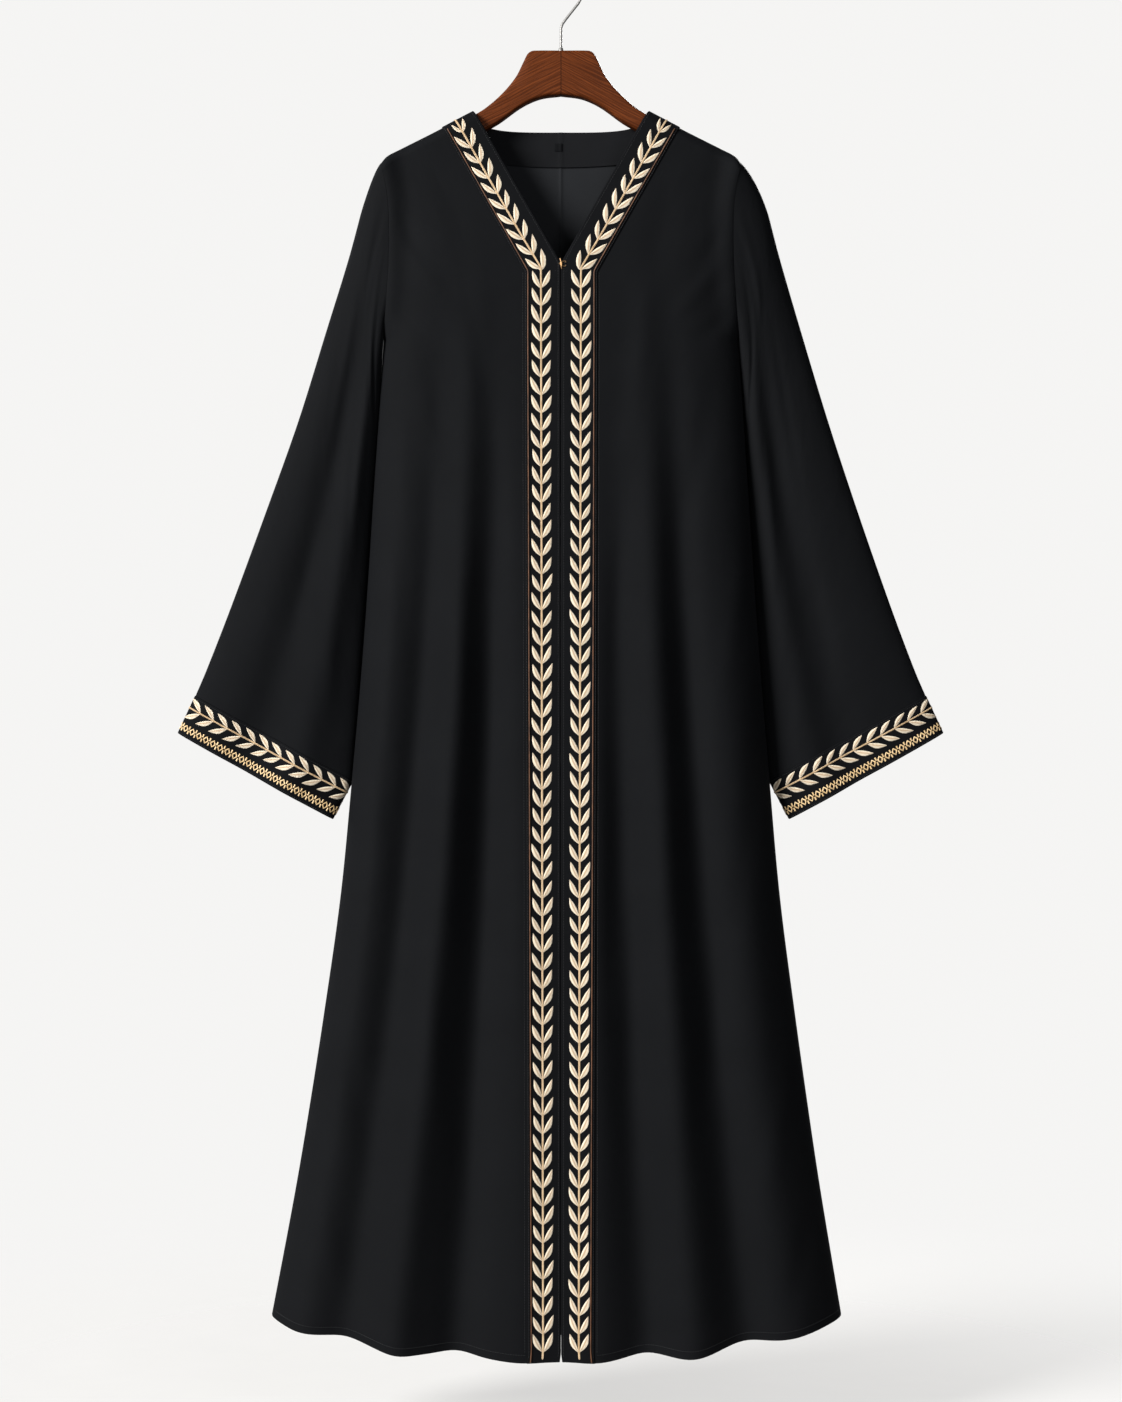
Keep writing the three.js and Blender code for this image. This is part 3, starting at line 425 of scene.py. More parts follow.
def corner_grid(rows, columns, wrap):
    """The four corners of every square of a grid, as row and column numbers"""
    r, c = np.meshgrid(np.arange(rows - 1), np.arange(columns if wrap else columns - 1), indexing="ij")
    r, c = r.ravel(), c.ravel()
    return np.stack([r, r, r + 1, r + 1], -1), np.stack([c, c + 1, c + 1, c], -1)


def mesh_of(name, points, faces):
    """A mesh from points in millimetres"""
    mesh = bpy.data.meshes.new(name)
    mesh.from_pydata((np.asarray(points) * MM).tolist(), [], faces)
    return mesh


def finished(mesh, finish, sharp):
    """Shades a mesh smooth, apart from edges sharper than an angle in degrees"""
    mesh.polygons.foreach_set("use_smooth", [True] * len(mesh.polygons))
    mesh.set_sharp_from_angle(angle=math.radians(sharp))
    mesh.materials.append(finish)
    return mesh


def turned_out(mesh, merged=False):
    """Turns a closed mesh's faces outwards, after merging its doubled points if asked"""
    work = bmesh.new()
    work.from_mesh(mesh)
    if merged:
        bmesh.ops.remove_doubles(work, verts=work.verts, dist=1e-6)
        bmesh.ops.dissolve_degenerate(work, edges=work.edges, dist=1e-7)
    bmesh.ops.recalc_face_normals(work, faces=work.faces)
    work.to_mesh(mesh)
    work.free()
    return mesh


def add_piece(name, data):
    piece = bpy.data.objects.new(name, data)
    scene.collection.objects.link(piece)
    return piece


def joined(name, pieces):
    with bpy.context.temp_override(active_object=pieces[0], selected_editable_objects=pieces):
        bpy.ops.object.join()
    pieces[0].name = pieces[0].data.name = name
    return pieces[0]


def tube_faces(rings, sides):
    """Four-cornered faces along a tube of rings, and one face over each end"""
    r, c = corner_grid(rings, sides, True)
    last = (rings - 1) * sides
    ends = [list(range(sides)), list(range(last + sides - 1, last - 1, -1))]
    return (r * sides + c % sides).tolist() + ends


def run_lengths(points, axis):
    steps = np.linalg.norm(np.diff(points, axis=axis), axis=-1)
    start = np.zeros_like(np.take(steps, [0], axis=axis))
    return np.concatenate([start, np.cumsum(steps, axis=axis)], axis=axis)


def cloth_sheet(name, outer, inner, finish, wrap=False):
    """A sheet between two grids of points, open or closed round on itself"""
    rows, columns = outer.shape[:2]
    ring = np.concatenate([outer, outer[:, :1]], 1) if wrap else outer
    across = run_lengths(ring, 1)
    down = run_lengths(ring, 0)
    level = across[rows // 2][None, :].repeat(rows, 0)
    uv_grid = np.stack([level, down.mean(1, keepdims=True).repeat(ring.shape[1], 1)], -1) * MM
    r, c = corner_grid(rows, columns, wrap)
    top = r * columns + c % columns
    sheet = rows * columns
    faces, uvs = [top, top[:, ::-1] + sheet], [uv_grid[r, c], uv_grid[r, c][:, ::-1]]

    def add_rim(a, b, at, flip):
        """Faces from the outer grid to the inner one, between its points a and b"""
        rim = np.stack([a, a + sheet, b + sheet, b], -1)
        faces.append(rim[:, ::-1] if flip else rim)
        uvs.append(at[:, ::-1] if flip else at)

    spans = np.arange(columns if wrap else columns - 1)
    for row, flip in ((0, False), (rows - 1, True)):
        at = uv_grid[row][np.stack([spans, spans, spans + 1, spans + 1], -1)]
        add_rim(row * columns + spans, row * columns + (spans + 1) % columns, at, flip)
    if not wrap:
        steps = np.arange(rows - 1)
        for column, flip in ((0, True), (columns - 1, False)):
            at = uv_grid[np.stack([steps, steps, steps + 1, steps + 1], -1), column]
            add_rim(steps * columns + column, (steps + 1) * columns + column, at, flip)
    faces, uvs = np.concatenate(faces), np.concatenate(uvs)
    points = np.concatenate([outer.reshape(-1, 3), inner.reshape(-1, 3)])
    a, b, d = points[top[:, 0]], points[top[:, 1]], points[top[:, 3]]
    inward = (inner - outer).reshape(-1, 3)[top[:, 0]]
    if np.sum(np.cross(b - a, d - a) * inward) > 0:
        faces, uvs = faces[:, ::-1], uvs[:, ::-1]
    mesh = mesh_of(name, points, faces.tolist())
    layer = mesh.uv_layers.new(name="cloth")
    layer.data.foreach_set("uv", uvs.reshape(-1).astype(np.float32))
    area = np.linalg.norm(np.cross(b - a, d - a), axis=-1).sum() * MM * MM
    print(f"{name}: {len(faces)} faces, {area:.3f} m2, up to {across[:, -1].max():.0f} mm across")
    return add_piece(name, finished(mesh, finish, CLOTH_SHARP))


# %% [markdown]
# ## Shader maths
# A finish is a small sum: so much weave, so much grain, a little dust. Writing it as a sum in Python keeps it
# readable. The class below wraps a node's socket and turns +, -, * and / into Math nodes, and one method adds
# any other node. The same method builds the Geometry Nodes trees further down.

# %% Sockets that add up


class Link:
    """A node's output that takes part in sums"""

    def __init__(self, tree, socket):
        self.tree, self.socket = tree, socket

    def maths(self, operation, *values):
        return self.tree.add("ShaderNodeMath", {"operation": operation}, dict(enumerate(values)))[0]

    def __add__(self, other):
        return self.maths("ADD", self, other)

    def __sub__(self, other):
        return self.maths("SUBTRACT", self, other)

    def __rsub__(self, other):
        return self.maths("SUBTRACT", other, self)

    def __mul__(self, other):
        return self.maths("MULTIPLY", self, other)

    def __truediv__(self, other):
        return self.maths("DIVIDE", self, other)

    def __abs__(self):
        return self.maths("ABSOLUTE", self)

    def sine(self):
        return self.maths("SINE", self)

    def between(self, low, high):
        """0 below low, 1 above high and smooth from one to the other"""
        values = {"Value": self, "From Min": low, "From Max": high}
        return self.tree.add("ShaderNodeMapRange", {"interpolation_type": "SMOOTHSTEP"}, values)[0]

    __radd__ = __add__
    __rmul__ = __mul__


class Made:
    """A node that was added. Its outputs are found by name or number"""

    def __init__(self, tree, node):
        self.tree, self.node = tree, node

    def __getitem__(self, key):
        return Link(self.tree, self.node.outputs[key])


class NodeTree:
    def __init__(self, tree):
        self.tree = tree

    def add(self, kind, settings=None, values=None):
        node = self.tree.nodes.new(kind)
        for key, value in (settings or {}).items():
            setattr(node, key, value)
        for key, value in (values or {}).items():
            socket = node.inputs[key]
            if isinstance(value, Link):
                self.tree.links.new(value.socket, socket)
            else:
                socket.default_value = value
        return Made(self, node)

    def blend(self, factor, a, b, how="MIX"):
        """Two colours mixed. A plain colour is three numbers"""
        a, b = [(*c, 1) if isinstance(c, tuple) and len(c) == 3 else c for c in (a, b)]
        settings = {"data_type": "RGBA", "blend_type": how}
        return self.add("ShaderNodeMix", settings, {0: factor, 6: a, 7: b})[2]

    def place(self, x, y, z=0.0):
        return self.add("ShaderNodeCombineXYZ", None, {0: x, 1: y, 2: z})[0]

    def parts(self, vector):
        """The x, y and z of a vector"""
        node = self.add("ShaderNodeSeparateXYZ", None, {0: vector})
        return node[0], node[1], node[2]

    def noise(self, vector, scale, detail=2.0, roughness=0.5):
        values = {"Vector": vector, "Scale": scale, "Detail": detail, "Roughness": roughness}
        return self.add("ShaderNodeTexNoise", None, values)[0]


class Finish(NodeTree):
    """A material, with its shader ready to take links"""

    def __init__(self, name):
        self.material = bpy.data.materials.new(name)
        self.material.use_nodes = True
        super().__init__(self.material.node_tree)
        self.shader = self.tree.nodes["Principled BSDF"]

    def set(self, **values):
        for key, value in values.items():
            socket = self.shader.inputs[key.replace("_", " ").title().replace("Ior", "IOR")]
            if isinstance(value, Link):
                self.tree.links.new(value.socket, socket)
            else:
                socket.default_value = (*value, 1) if isinstance(value, tuple) and len(value) == 3 else value
        return self

    def bumps(self, *layers):
        """Bump nodes in a chain, each a height and the distance in metres that it stands for"""
        normal = None
        for height, distance in layers:
            values = {"Strength": 1.0, "Distance": distance, "Height": height}
            if normal is not None:
                values["Normal"] = normal
            normal = self.add("ShaderNodeBump", None, values)[0]
        return self.set(normal=normal)

    def own_place(self):
        """The place on the piece itself, in metres"""
        return self.add("ShaderNodeTexCoord")["Object"]

    def uv(self, name):
        """The two directions of a UV map as numbers"""
        across, along, _ = self.parts(self.add("ShaderNodeUVMap", {"uv_map": name})[0])
        return across, along


# %% [markdown]
# ## Crepe
# Crepe is woven from hard-twisted yarn, which curls and gives a pebbled matt face. Its colour is a soft black
# with a little blue. The pebbles are noise at half a millimetre, over the lines of a fine plain weave, and a
# weak sheen stands for the fuzz that catches light at grazing angles and shows the folds.

# %% Crepe and its facing
TURN = 2 * math.pi


def crepe(name, colour, pebble=0.00009, painted_fill_inside=None):
    """painted_fill_inside is a lighter colour for the side that faces the front within the robe's back:
    painted light, in place of light that the lamps don't bring there
    """
    finish = Finish(name)
    across, down = [metres * 1000.0 for metres in finish.uv("cloth")]
    place = finish.place(across, down)
    slow = finish.noise(place, 0.012, 3.0)
    mottle = finish.noise(place, 0.5, 3.0)
    grain = finish.noise(place, 1.9, 2.0, 0.6)
    weave = (across * (TURN / 0.42)).sine() * (down * (TURN / 0.46)).sine()
    tone = 0.72 + slow * 0.3 + (mottle - 0.5) * 0.22 + (grain - 0.5) * 0.35
    # Painted light: where the cloth faces the front, the colour is mixed towards a lighter one, standing in
    # for fill light in the shaded hollow
    if painted_fill_inside:
        painted_fill_mask = finish.parts(finish.add("ShaderNodeNewGeometry")["Normal"])[1] * -1.0
        colour = finish.blend(painted_fill_mask.between(0.1, 0.5), colour, painted_fill_inside)
    finish.set(
        base_color=finish.blend(tone, (0.0, 0.0, 0.0), colour),
        roughness=0.74 + (mottle - 0.5) * 0.12,
        specular_ior_level=0.035,
        sheen_weight=0.01,
        sheen_roughness=0.4,
        sheen_tint=(0.72, 0.8, 0.92),
    )
    finish.bumps((slow, 0.0016), (grain + weave * 0.25, pebble))
    return finish.material


CREPE = crepe("matt_black_crepe", (0.0056, 0.006, 0.0069))
# The back's crepe carries painted fill light: its side facing the front, seen through the V, is lighter
BACK_CREPE_PAINTED_FILL = crepe("matt_black_crepe_back", (0.0056, 0.006, 0.0069), painted_fill_inside=(0.016, 0.017, 0.019))
BAND_CREPE = crepe("black_band_crepe", (0.0047, 0.005, 0.0058), 0.00007)
# The facing is the same black crepe, painted lighter to stand in for light in the shaded back neck
FACING_CREPE_PAINTED_LIGHTER = crepe("black_facing_crepe", (0.0088, 0.0092, 0.0104))
print("crepe finishes ready")

# %% [markdown]
# ## Fronts and backs
# The cloth is a grid of about 5 mm, closer over the hanger and at the V, where the form turns quickest. The
# hem is turned up twice on a real robe, so the last 9 mm are thicker. The row of stitches comes later.

# %% Fronts and backs
CLOTH_THICK, HEM_THICK, HEM_DEPTH = 0.9, 1.5, 9.0
HEM_ROW = 2 - HEM_DEPTH / (UNDERARM_Z - HEM_Z)
SHOULDER_ROWS, CHEST_ROWS = np.linspace(0, 0.09, 15), np.linspace(0.09, 1, 62)
UPPER_ROWS = sorted({*SHOULDER_ROWS, *CHEST_ROWS, V_ROW, BACK_NECK_SHARE, 0.006, 0.02})
LOWER_ROWS = [*np.linspace(1, 1.99, 170)[1:], 1.9925, 2.0]
ROWS = np.array([*UPPER_ROWS, *LOWER_ROWS])


def crowded(count, power=1.35):
    return 1 - (1 - np.linspace(0, 1, count + 1)) ** power


FRONT_COLUMNS = np.array([0.035, *np.linspace(0.12, 1, 9), *(1 + crowded(62)[1:])])
BACK_COLUMNS = np.array([0, 0.006, 0.012, 0.02, *(2 * crowded(74)[1:])])


def panel_surface(panel):
    return SimpleNamespace(
        point=lambda u, v: panel_point(panel, u, v),
        facing=panel.side * panel.toward, u_range=(0, 2), v_range=(0, 2), meets_twin=True,
    )


def panel_sheet(panel):
    surface = panel_surface(panel)
    u, v = np.meshgrid(FRONT_COLUMNS if panel.banded else BACK_COLUMNS, ROWS)
    points, out = surface.point(u, v), outward_at(surface, u, v)
    thick = np.where(v > HEM_ROW, HEM_THICK, CLOTH_THICK)[..., None]
    finish = CREPE if panel.banded else BACK_CREPE_PAINTED_FILL
    return cloth_sheet(f"crepe_{panel.name}", points, points - out * thick, finish)


panel_pieces = {name: panel_sheet(panel) for name, panel in PANELS.items()}

# %% [markdown]
# ## Front bands
# The band is a second strip of crepe laid on the front, which carries the embroidery. It wraps round the
# front's raw edge, so its inner edge is thick and soft, and its outer edge lies flat under the corded line.

# %% Front bands
BAND_LOW, BAND_HIGH, BAND_EDGE_HIGH, BAND_EDGE_DROP = 0.3, 1.3, 0.2, 0.7
INNER_ROUND, OUTER_ROUND, INNER_WRAP = 0.03, 0.025, 0.032
BAND_COLUMNS = np.array([0, 0.012, 0.03, 0.05, *np.linspace(0.1, 0.9, 13), 0.95, 0.975, 0.99, 1])


def band_sheet(panel):
    surface = panel_surface(panel)
    u, v = np.meshgrid(BAND_COLUMNS, ROWS)
    points, out = surface.point(u, v), outward_at(surface, u, v)
    to_inner = np.clip(1 - u / INNER_ROUND, 0, 1)
    to_outer = np.clip((u - 1 + OUTER_ROUND) / OUTER_ROUND, 0, 1)
    high = mix(BAND_EDGE_HIGH, BAND_HIGH, np.sqrt(1 - to_inner**2))
    high = high - (1 - np.sqrt(1 - to_outer**2)) * BAND_EDGE_DROP
    low = np.where(u < INNER_WRAP, -CLOTH_THICK, BAND_LOW)
    return cloth_sheet(
        f"band_{panel.name}", points + out * high[..., None], points + out * low[..., None], BAND_CREPE
    )


FRONTS = [PANELS["front_right"], PANELS["front_left"]]
band_pieces = {panel.name: band_sheet(panel) for panel in FRONTS}

# %% [markdown]
# ## Sleeves and cuffs
# A sleeve is a flattened tube that leaves the armhole and widens to the cuff. One function gives a point
# of it from the share of a turn round the tube and the share of the way down, as in the solid model.

# %% Measures of the sleeve
SLEEVE = table(
    "s outer_x outer_z inner_x inner_z middle depth tuck left_out",
    (0, 205, -219, 203, -421, 0, 20, 0, 0), (0.05, 216, -233, 204.6, -452, 1, 20.5, 0.5, 4),
    (0.12, 224, -259, 206.4, -490, 3, 21, 1.6, 7.5), (0.24, 242, -325, 210.4, -560, 6, 21, 3, 7.5),
    (0.38, 268, -408, 215, -637, 9, 20.5, 4, 6), (0.52, 300.5, -512, 219.6, -712, 10, 20, 4, 5),
    (0.66, 338, -617, 224.8, -782, 10, 19, 4, 2), (0.8, 376.5, -722, 229.9, -846, 9.5, 18, 3.5, 0),
    (0.92, 404, -793, 234.4, -895, 9, 17, 2.5, -1), (1, 417.5, -825, 237.2, -921, 8.5, 16, 1.5, -1),
)
CUFF_END = {
    "outer_x": 437.5, "outer_z": -868, "inner_x": 261, "inner_z": -966, "middle": 8, "depth": 16,
    "tuck": 0, "left_out": -1,
}
SLEEVE_HEAD, SLEEVE_SQUARENESS = 0.16, 3
SLEEVE_FOLDS = {
    "right": table(
        "at rise spread front start full",
        (0.42, -6, 0.13, 1, 0.1, 0.5), (0.7, 6, 0.12, 1, 0.08, 0.4), (0.5, -6, 0.14, 0, 0.1, 0.6),
    ),
    "left": table(
        "at rise spread front start full",
        (0.75, 4, 0.12, 1, 0.1, 0.4), (0.55, -6, 0.13, 1, 0.1, 0.5), (0.45, -6, 0.14, 0, 0.1, 0.6),
    ),
}
SLEEVE_CREASES = {
    ("right", "front"): crease_table(
        (60, 60, 150, 70, 1.6, 10), (120, 95, 170, 58, -1.5, 11), (165, 120, 130, 48, 1.8, 10),
        (60, 250, 260, 84, -1.4, 11), (130, 300, 280, 80, 1.6, 12), (85, 470, 240, 88, 1.5, 12),
        (150, 520, 220, 82, -1.6, 12),
    ),
    ("right", "back"): crease_table(
        (70, 80, 160, 66, 1.6, 10), (140, 110, 160, 54, 1.6, 11), (70, 290, 280, 84, 1.5, 12),
        (140, 420, 260, 82, -1.5, 12), (90, 560, 200, 88, 1.4, 12),
    ),
    ("left", "front"): crease_table(
        (70, 70, 160, 72, -1.5, 10), (130, 100, 160, 56, 1.7, 11), (170, 135, 120, 46, 1.6, 10),
        (70, 280, 280, 85, 1.5, 11), (145, 330, 260, 80, -1.5, 12), (95, 500, 240, 87, 1.5, 12),
        (160, 560, 180, 84, 1.4, 11),
    ),
    ("left", "back"): crease_table(
        (65, 90, 160, 68, 1.6, 10), (145, 120, 160, 52, -1.5, 11), (75, 310, 280, 85, -1.5, 12),
        (150, 440, 260, 82, 1.5, 12), (95, 580, 180, 88, 1.4, 12),
    ),
}
SLEEVE_LENGTH_MM, SLEEVE_FACE_MM = 690, 200
sleeve_lines = {key: line_through(SLEEVE, "s", key) for key in SLEEVE if key != "s"}

# %% The form of a sleeve


def tube_section(arm, line, turn, s):
    across = (1 - np.cos(TURN * turn)) / 2
    front = np.sin(TURN * turn) >= 0
    total = 0
    folds = SLEEVE_FOLDS[arm.name]
    for i in range(len(folds["at"])):
        grown = ease((s - folds["start"][i]) / (folds["full"][i] - folds["start"][i]))
        height = folds["rise"][i] * grown * np.exp(-(((across - folds["at"][i]) / folds["spread"][i]) ** 2))
        total = total + height * (front == bool(folds["front"][i]))
    for face, where in (("front", front), ("back", ~front)):
        small = creased(SLEEVE_CREASES[arm.name, face], across * SLEEVE_FACE_MM, s * SLEEVE_LENGTH_MM)
        total = total + small * where * ease(s / 0.06) * ease((1 - s) / 0.05)
    swell = np.sqrt(np.clip(1 - np.abs(2 * across - 1) ** SLEEVE_SQUARENESS, 0, 1))
    middle = line["middle"] + line["tuck"] * across**2
    y = middle + np.where(front, -1, 1) * swell * (line["depth"] + total)
    outer_x = line["outer_x"] + (line["left_out"] if arm.side > 0 else 0)
    return mix(outer_x, line["inner_x"], across), y, mix(line["outer_z"], line["inner_z"], across), across


def sleeve_point(arm, turn, s):
    turn, s = np.broadcast_arrays(np.asarray(turn, float), np.asarray(s, float))
    x, y, z, across = tube_section(arm, {key: line(s) for key, line in sleeve_lines.items()}, turn, s)
    hole_z = mix(SHOULDER_POINT[1], UNDERARM_Z, across)
    edge_x = side_half(hole_z)
    sign = np.where(np.sin(TURN * turn) >= 0, -1, 1)
    hole_y = sign * armhole_depth(hole_z) * shoulder_fall(edge_x, hole_z)
    away = ease(s / SLEEVE_HEAD)
    points = [arm.side * mix(edge_x + 2 * HALF_GAP, x, away), mix(hole_y, y, away), mix(hole_z, z, away)]
    return np.stack(points, -1)


def cuff_point(arm, turn, s):
    turn, s = np.broadcast_arrays(np.asarray(turn, float), np.asarray(s, float))
    line = {key: mix(SLEEVE[key][-1], CUFF_END[key], s) for key in sleeve_lines}
    x, y, z, _ = tube_section(arm, line, turn, np.ones_like(s))
    return np.stack([arm.side * x, y, z], -1)


def tube_surface(arm, point):
    return SimpleNamespace(
        point=lambda u, v: point(arm, u, v),
        facing=arm.side, u_range=(-1, 2), v_range=(0, 1), meets_twin=False,
    )


# %% Sleeves and cuffs
ARMS = [SimpleNamespace(name="right", side=-1), SimpleNamespace(name="left", side=1)]
TURNS = np.arange(112) / 112
SLEEVE_ROWS = np.array([0, 0.004, 0.01, 0.018, *np.linspace(0.03, 0.985, 92), 0.993, 1])
CUFF_START, CUFF_ROUND = 0.003, 0.02
CUFF_ROWS = np.array([CUFF_START, 0.012, 0.03, 0.05, *np.linspace(0.09, 0.94, 14), 0.965, 0.985, 0.995, 1])
CUFF_STEP, CUFF_THICK = 0.7, 1.2


def sleeve_sheet(arm):
    surface = tube_surface(arm, sleeve_point)
    u, v = np.meshgrid(TURNS, SLEEVE_ROWS)
    points, out = surface.point(u, v), outward_at(surface, u, v)
    return cloth_sheet(f"crepe_sleeve_{arm.name}", points, points - out * CLOTH_THICK, CREPE, wrap=True)


def cuff_sheet(arm):
    surface = tube_surface(arm, cuff_point)
    u, v = np.meshgrid(TURNS, CUFF_ROWS)
    points, out = surface.point(u, v), outward_at(surface, u, v)
    from_rim = np.minimum(v - CUFF_START, 1 - v) / CUFF_ROUND
    high = CUFF_STEP * np.sqrt(np.clip(1 - np.clip(1 - from_rim, 0, 1) ** 2, 0, 1))[..., None]
    outer, inner = points + out * high, points - out * CUFF_THICK
    return cloth_sheet(f"crepe_cuff_{arm.name}", outer, inner, BAND_CREPE, wrap=True)


sleeve_pieces = {arm.name: sleeve_sheet(arm) for arm in ARMS}
cuff_pieces = {arm.name: cuff_sheet(arm) for arm in ARMS}

# %% [markdown]
# ## Back neck facing and tab
# Inside the back neck a strip of the same crepe finishes the edge, with a small blank tab sewn to its middle.
# The strip's colour is painted lighter than the crepe: painted light in the shaded neck.

# %% Facing and tab
FACING = {"half_width": 88, "depth": 40, "sag": 5, "stand": 0.7, "thick": 1.0, "top_drop": 1}
TAB = {"width": 8, "height": 9, "thick": 0.8, "x": -3, "below": 13, "gap": 0.3, "crown": 0.3}


def back_neck_z(x):
    along = np.clip(np.abs(x) / NECK_CORNER[0], 0, 1)
    return NECK_CORNER[1] - BACK_NECK_DROP * np.sqrt(1 - along**4)


def back_depth(x, z):
    return np.where(x < 0, body_depth(PANELS["back_right"], -x, z), body_depth(PANELS["back_left"], x, z))


def facing_point(u, v):
    x = u * FACING["half_width"]
    foot = NECK_CORNER[1] - BACK_NECK_DROP - FACING["depth"] + FACING["sag"] * u**2
    z = mix(back_neck_z(x) - FACING["top_drop"], foot, v)
    return np.stack([x, back_depth(x, z), z], -1)


facing_surface = SimpleNamespace(
    point=facing_point, facing=1, u_range=(-1, 1), v_range=(0, 1), meets_twin=False,
)


def facing_sheet():
    u, v = np.meshgrid(np.linspace(-1, 1, 81), np.linspace(0, 1, 19))
    points, out = facing_point(u, v), outward_at(facing_surface, u, v)
    far = CLOTH_THICK + FACING["stand"]
    near = far + FACING["thick"]
    return cloth_sheet("neck_facing", points - out * far, points - out * near, FACING_CREPE_PAINTED_LIGHTER)


facing_piece = facing_sheet()


def tab_sheet():
    across, up = np.meshgrid(np.linspace(-0.5, 0.5, 9), np.linspace(0.5, -0.5, 9))
    middle_z = NECK_CORNER[1] - BACK_NECK_DROP - TAB["below"] - TAB["height"] / 2
    x, z = TAB["x"] + across * TAB["width"], middle_z + up * TAB["height"]
    near = back_depth(x, z) - CLOTH_THICK - FACING["stand"] - FACING["thick"] - TAB["gap"]
    crown = TAB["crown"] * (1 - (2 * across) ** 4) * (1 - (2 * up) ** 4)
    outer = np.stack([x, near - TAB["thick"] * 0.6 - crown, z], -1)
    return cloth_sheet("neck_tab_sheet", outer, np.stack([x, near, z], -1), BAND_CREPE)


tab_piece = tab_sheet()

# %% [markdown]
# ## Geometry Nodes for what repeats
# A vine, a row of stitches and a twisted cord all repeat along a line. Each is drawn flat first, as an
# embroidery machine draws it: +Y runs along the line, X across it and Z off the cloth. A Geometry Nodes tree
# with named inputs sets one shape out along the line, and the result is then laid on the robe point by point.

# %% Trees with named inputs


class Recipe(NodeTree):
    """A Geometry Nodes tree. sizes are its named inputs with their values"""

    def __init__(self, name, **sizes):
        super().__init__(bpy.data.node_groups.new(name, "GeometryNodeTree"))
        face = self.tree.interface
        face.new_socket("Geometry", in_out="INPUT", socket_type="NodeSocketGeometry")
        for key, value in sizes.items():
            kind = "NodeSocketObject" if isinstance(value, bpy.types.Object) else "NodeSocketFloat"
            kind = "NodeSocketMaterial" if isinstance(value, bpy.types.Material) else kind
            kind = "NodeSocketInt" if isinstance(value, int) else kind
            face.new_socket(key.replace("_", " "), in_out="INPUT", socket_type=kind)
        face.new_socket("Geometry", in_out="OUTPUT", socket_type="NodeSocketGeometry")
        self.tree.is_modifier = True
        self.sizes = sizes
        self.entry = Made(self, self.tree.nodes.new("NodeGroupInput"))

    def size(self, name):
        return self.entry[name.replace("_", " ")]

    def points_along(self, pitch):
        line = self.add("GeometryNodeMeshToCurve", None, {"Mesh": self.entry["Geometry"]})[0]
        return self.add("GeometryNodeResampleCurve", {"mode": "LENGTH"}, {"Curve": line, "Length": pitch})[0]

    def random(self, low, high, seed):
        """A number for each copy, with a fixed seed"""
        values = {2: low, 3: high, 8: seed}
        return self.add("FunctionNodeRandomValue", {"data_type": "FLOAT"}, values)[1]

    def copies(self, points, shape, **turned):
        """A copy of a shape at each point. turned may give a rotation and a scale"""
        source = self.add("GeometryNodeObjectInfo", {"transform_space": "ORIGINAL"}, {"Object": shape})
        values = {"Points": points, "Instance": source["Geometry"]}
        values.update({key.title(): value for key, value in turned.items()})
        return self.add("GeometryNodeInstanceOnPoints", None, values)[0]

    def join(self, *parts):
        node = self.add("GeometryNodeJoinGeometry")
        for part in reversed(parts):
            self.tree.links.new(part.socket, node.node.inputs[0])
        return node[0]

    def end(self, geometry, finish):
        real = self.add("GeometryNodeRealizeInstances", None, {"Geometry": geometry})[0]
        done = self.add("GeometryNodeSetMaterial", None, {"Geometry": real, "Material": finish})[0]
        out = self.tree.nodes.new("NodeGroupOutput")
        self.tree.links.new(done.socket, out.inputs[0])
        return self


def flat_line(length):
    """A straight line from 0 to its length in metres, along Y"""
    mesh = bpy.data.meshes.new("line")
    mesh.from_pydata([(0, 0, 0), (0, length, 0)], [(0, 1)], [])
    return mesh


def grown(name, recipe, line, **sizes):
    """Runs a recipe on a line with the given sizes, and returns the result as a plain mesh piece"""
    carrier = add_piece(name, line)
    modifier = carrier.modifiers.new("recipe", "NODES")
    modifier.node_group = recipe.tree
    values = {**recipe.sizes, **sizes}
    for item in recipe.tree.interface.items_tree:
        key = item.name.replace(" ", "_")
        if item.in_out == "INPUT" and key in values:
            modifier[item.identifier] = values[key]
    bpy.context.view_layer.update()
    mesh = bpy.data.meshes.new_from_object(carrier.evaluated_get(bpy.context.evaluated_depsgraph_get()))
    bpy.data.objects.remove(carrier)
    mesh.name = name
    return add_piece(name, mesh)


def laid(piece, onto):
    """Moves each point of a flat piece onto the robe. onto turns x, y and z into places, in millimetres"""
    mesh = piece.data
    flat = np.empty(len(mesh.vertices) * 3)
    mesh.vertices.foreach_get("co", flat)
    flat = flat.reshape(-1, 3) / MM
    places = onto(flat[:, 0], flat[:, 1], flat[:, 2])
    mesh.vertices.foreach_set("co", (places * MM).reshape(-1))
    mesh.update()
    print(f"{piece.name}: {len(mesh.polygons)} faces")
    return piece


# %% [markdown]
# ## Lines on the robe
# A line on a front is drawn as seen from the front, then dropped on the cloth, so a leaf that is wide of its
# stem follows the folds. Thin things, such as stitches and cord, only need the line itself with the cloth's
# outward direction along it. Both maps keep left and right as they are, so nothing is turned inside out.

# %% Lines and how flat work is laid along them


def smoothed(path, reach, step):
    """Rounds a path's corners with a short running mean. Its ends stay where they are"""
    count = max(1, int(reach / step))
    padded = np.concatenate([path[:1].repeat(count, 0), path, path[-1:].repeat(count, 0)])
    window = np.hanning(2 * count + 3)[1:-1]
    window /= window.sum()
    result = np.stack([np.convolve(padded[:, i], window, "valid") for i in range(path.shape[1])], 1)
    result[0], result[-1] = path[0], path[-1]
    return result


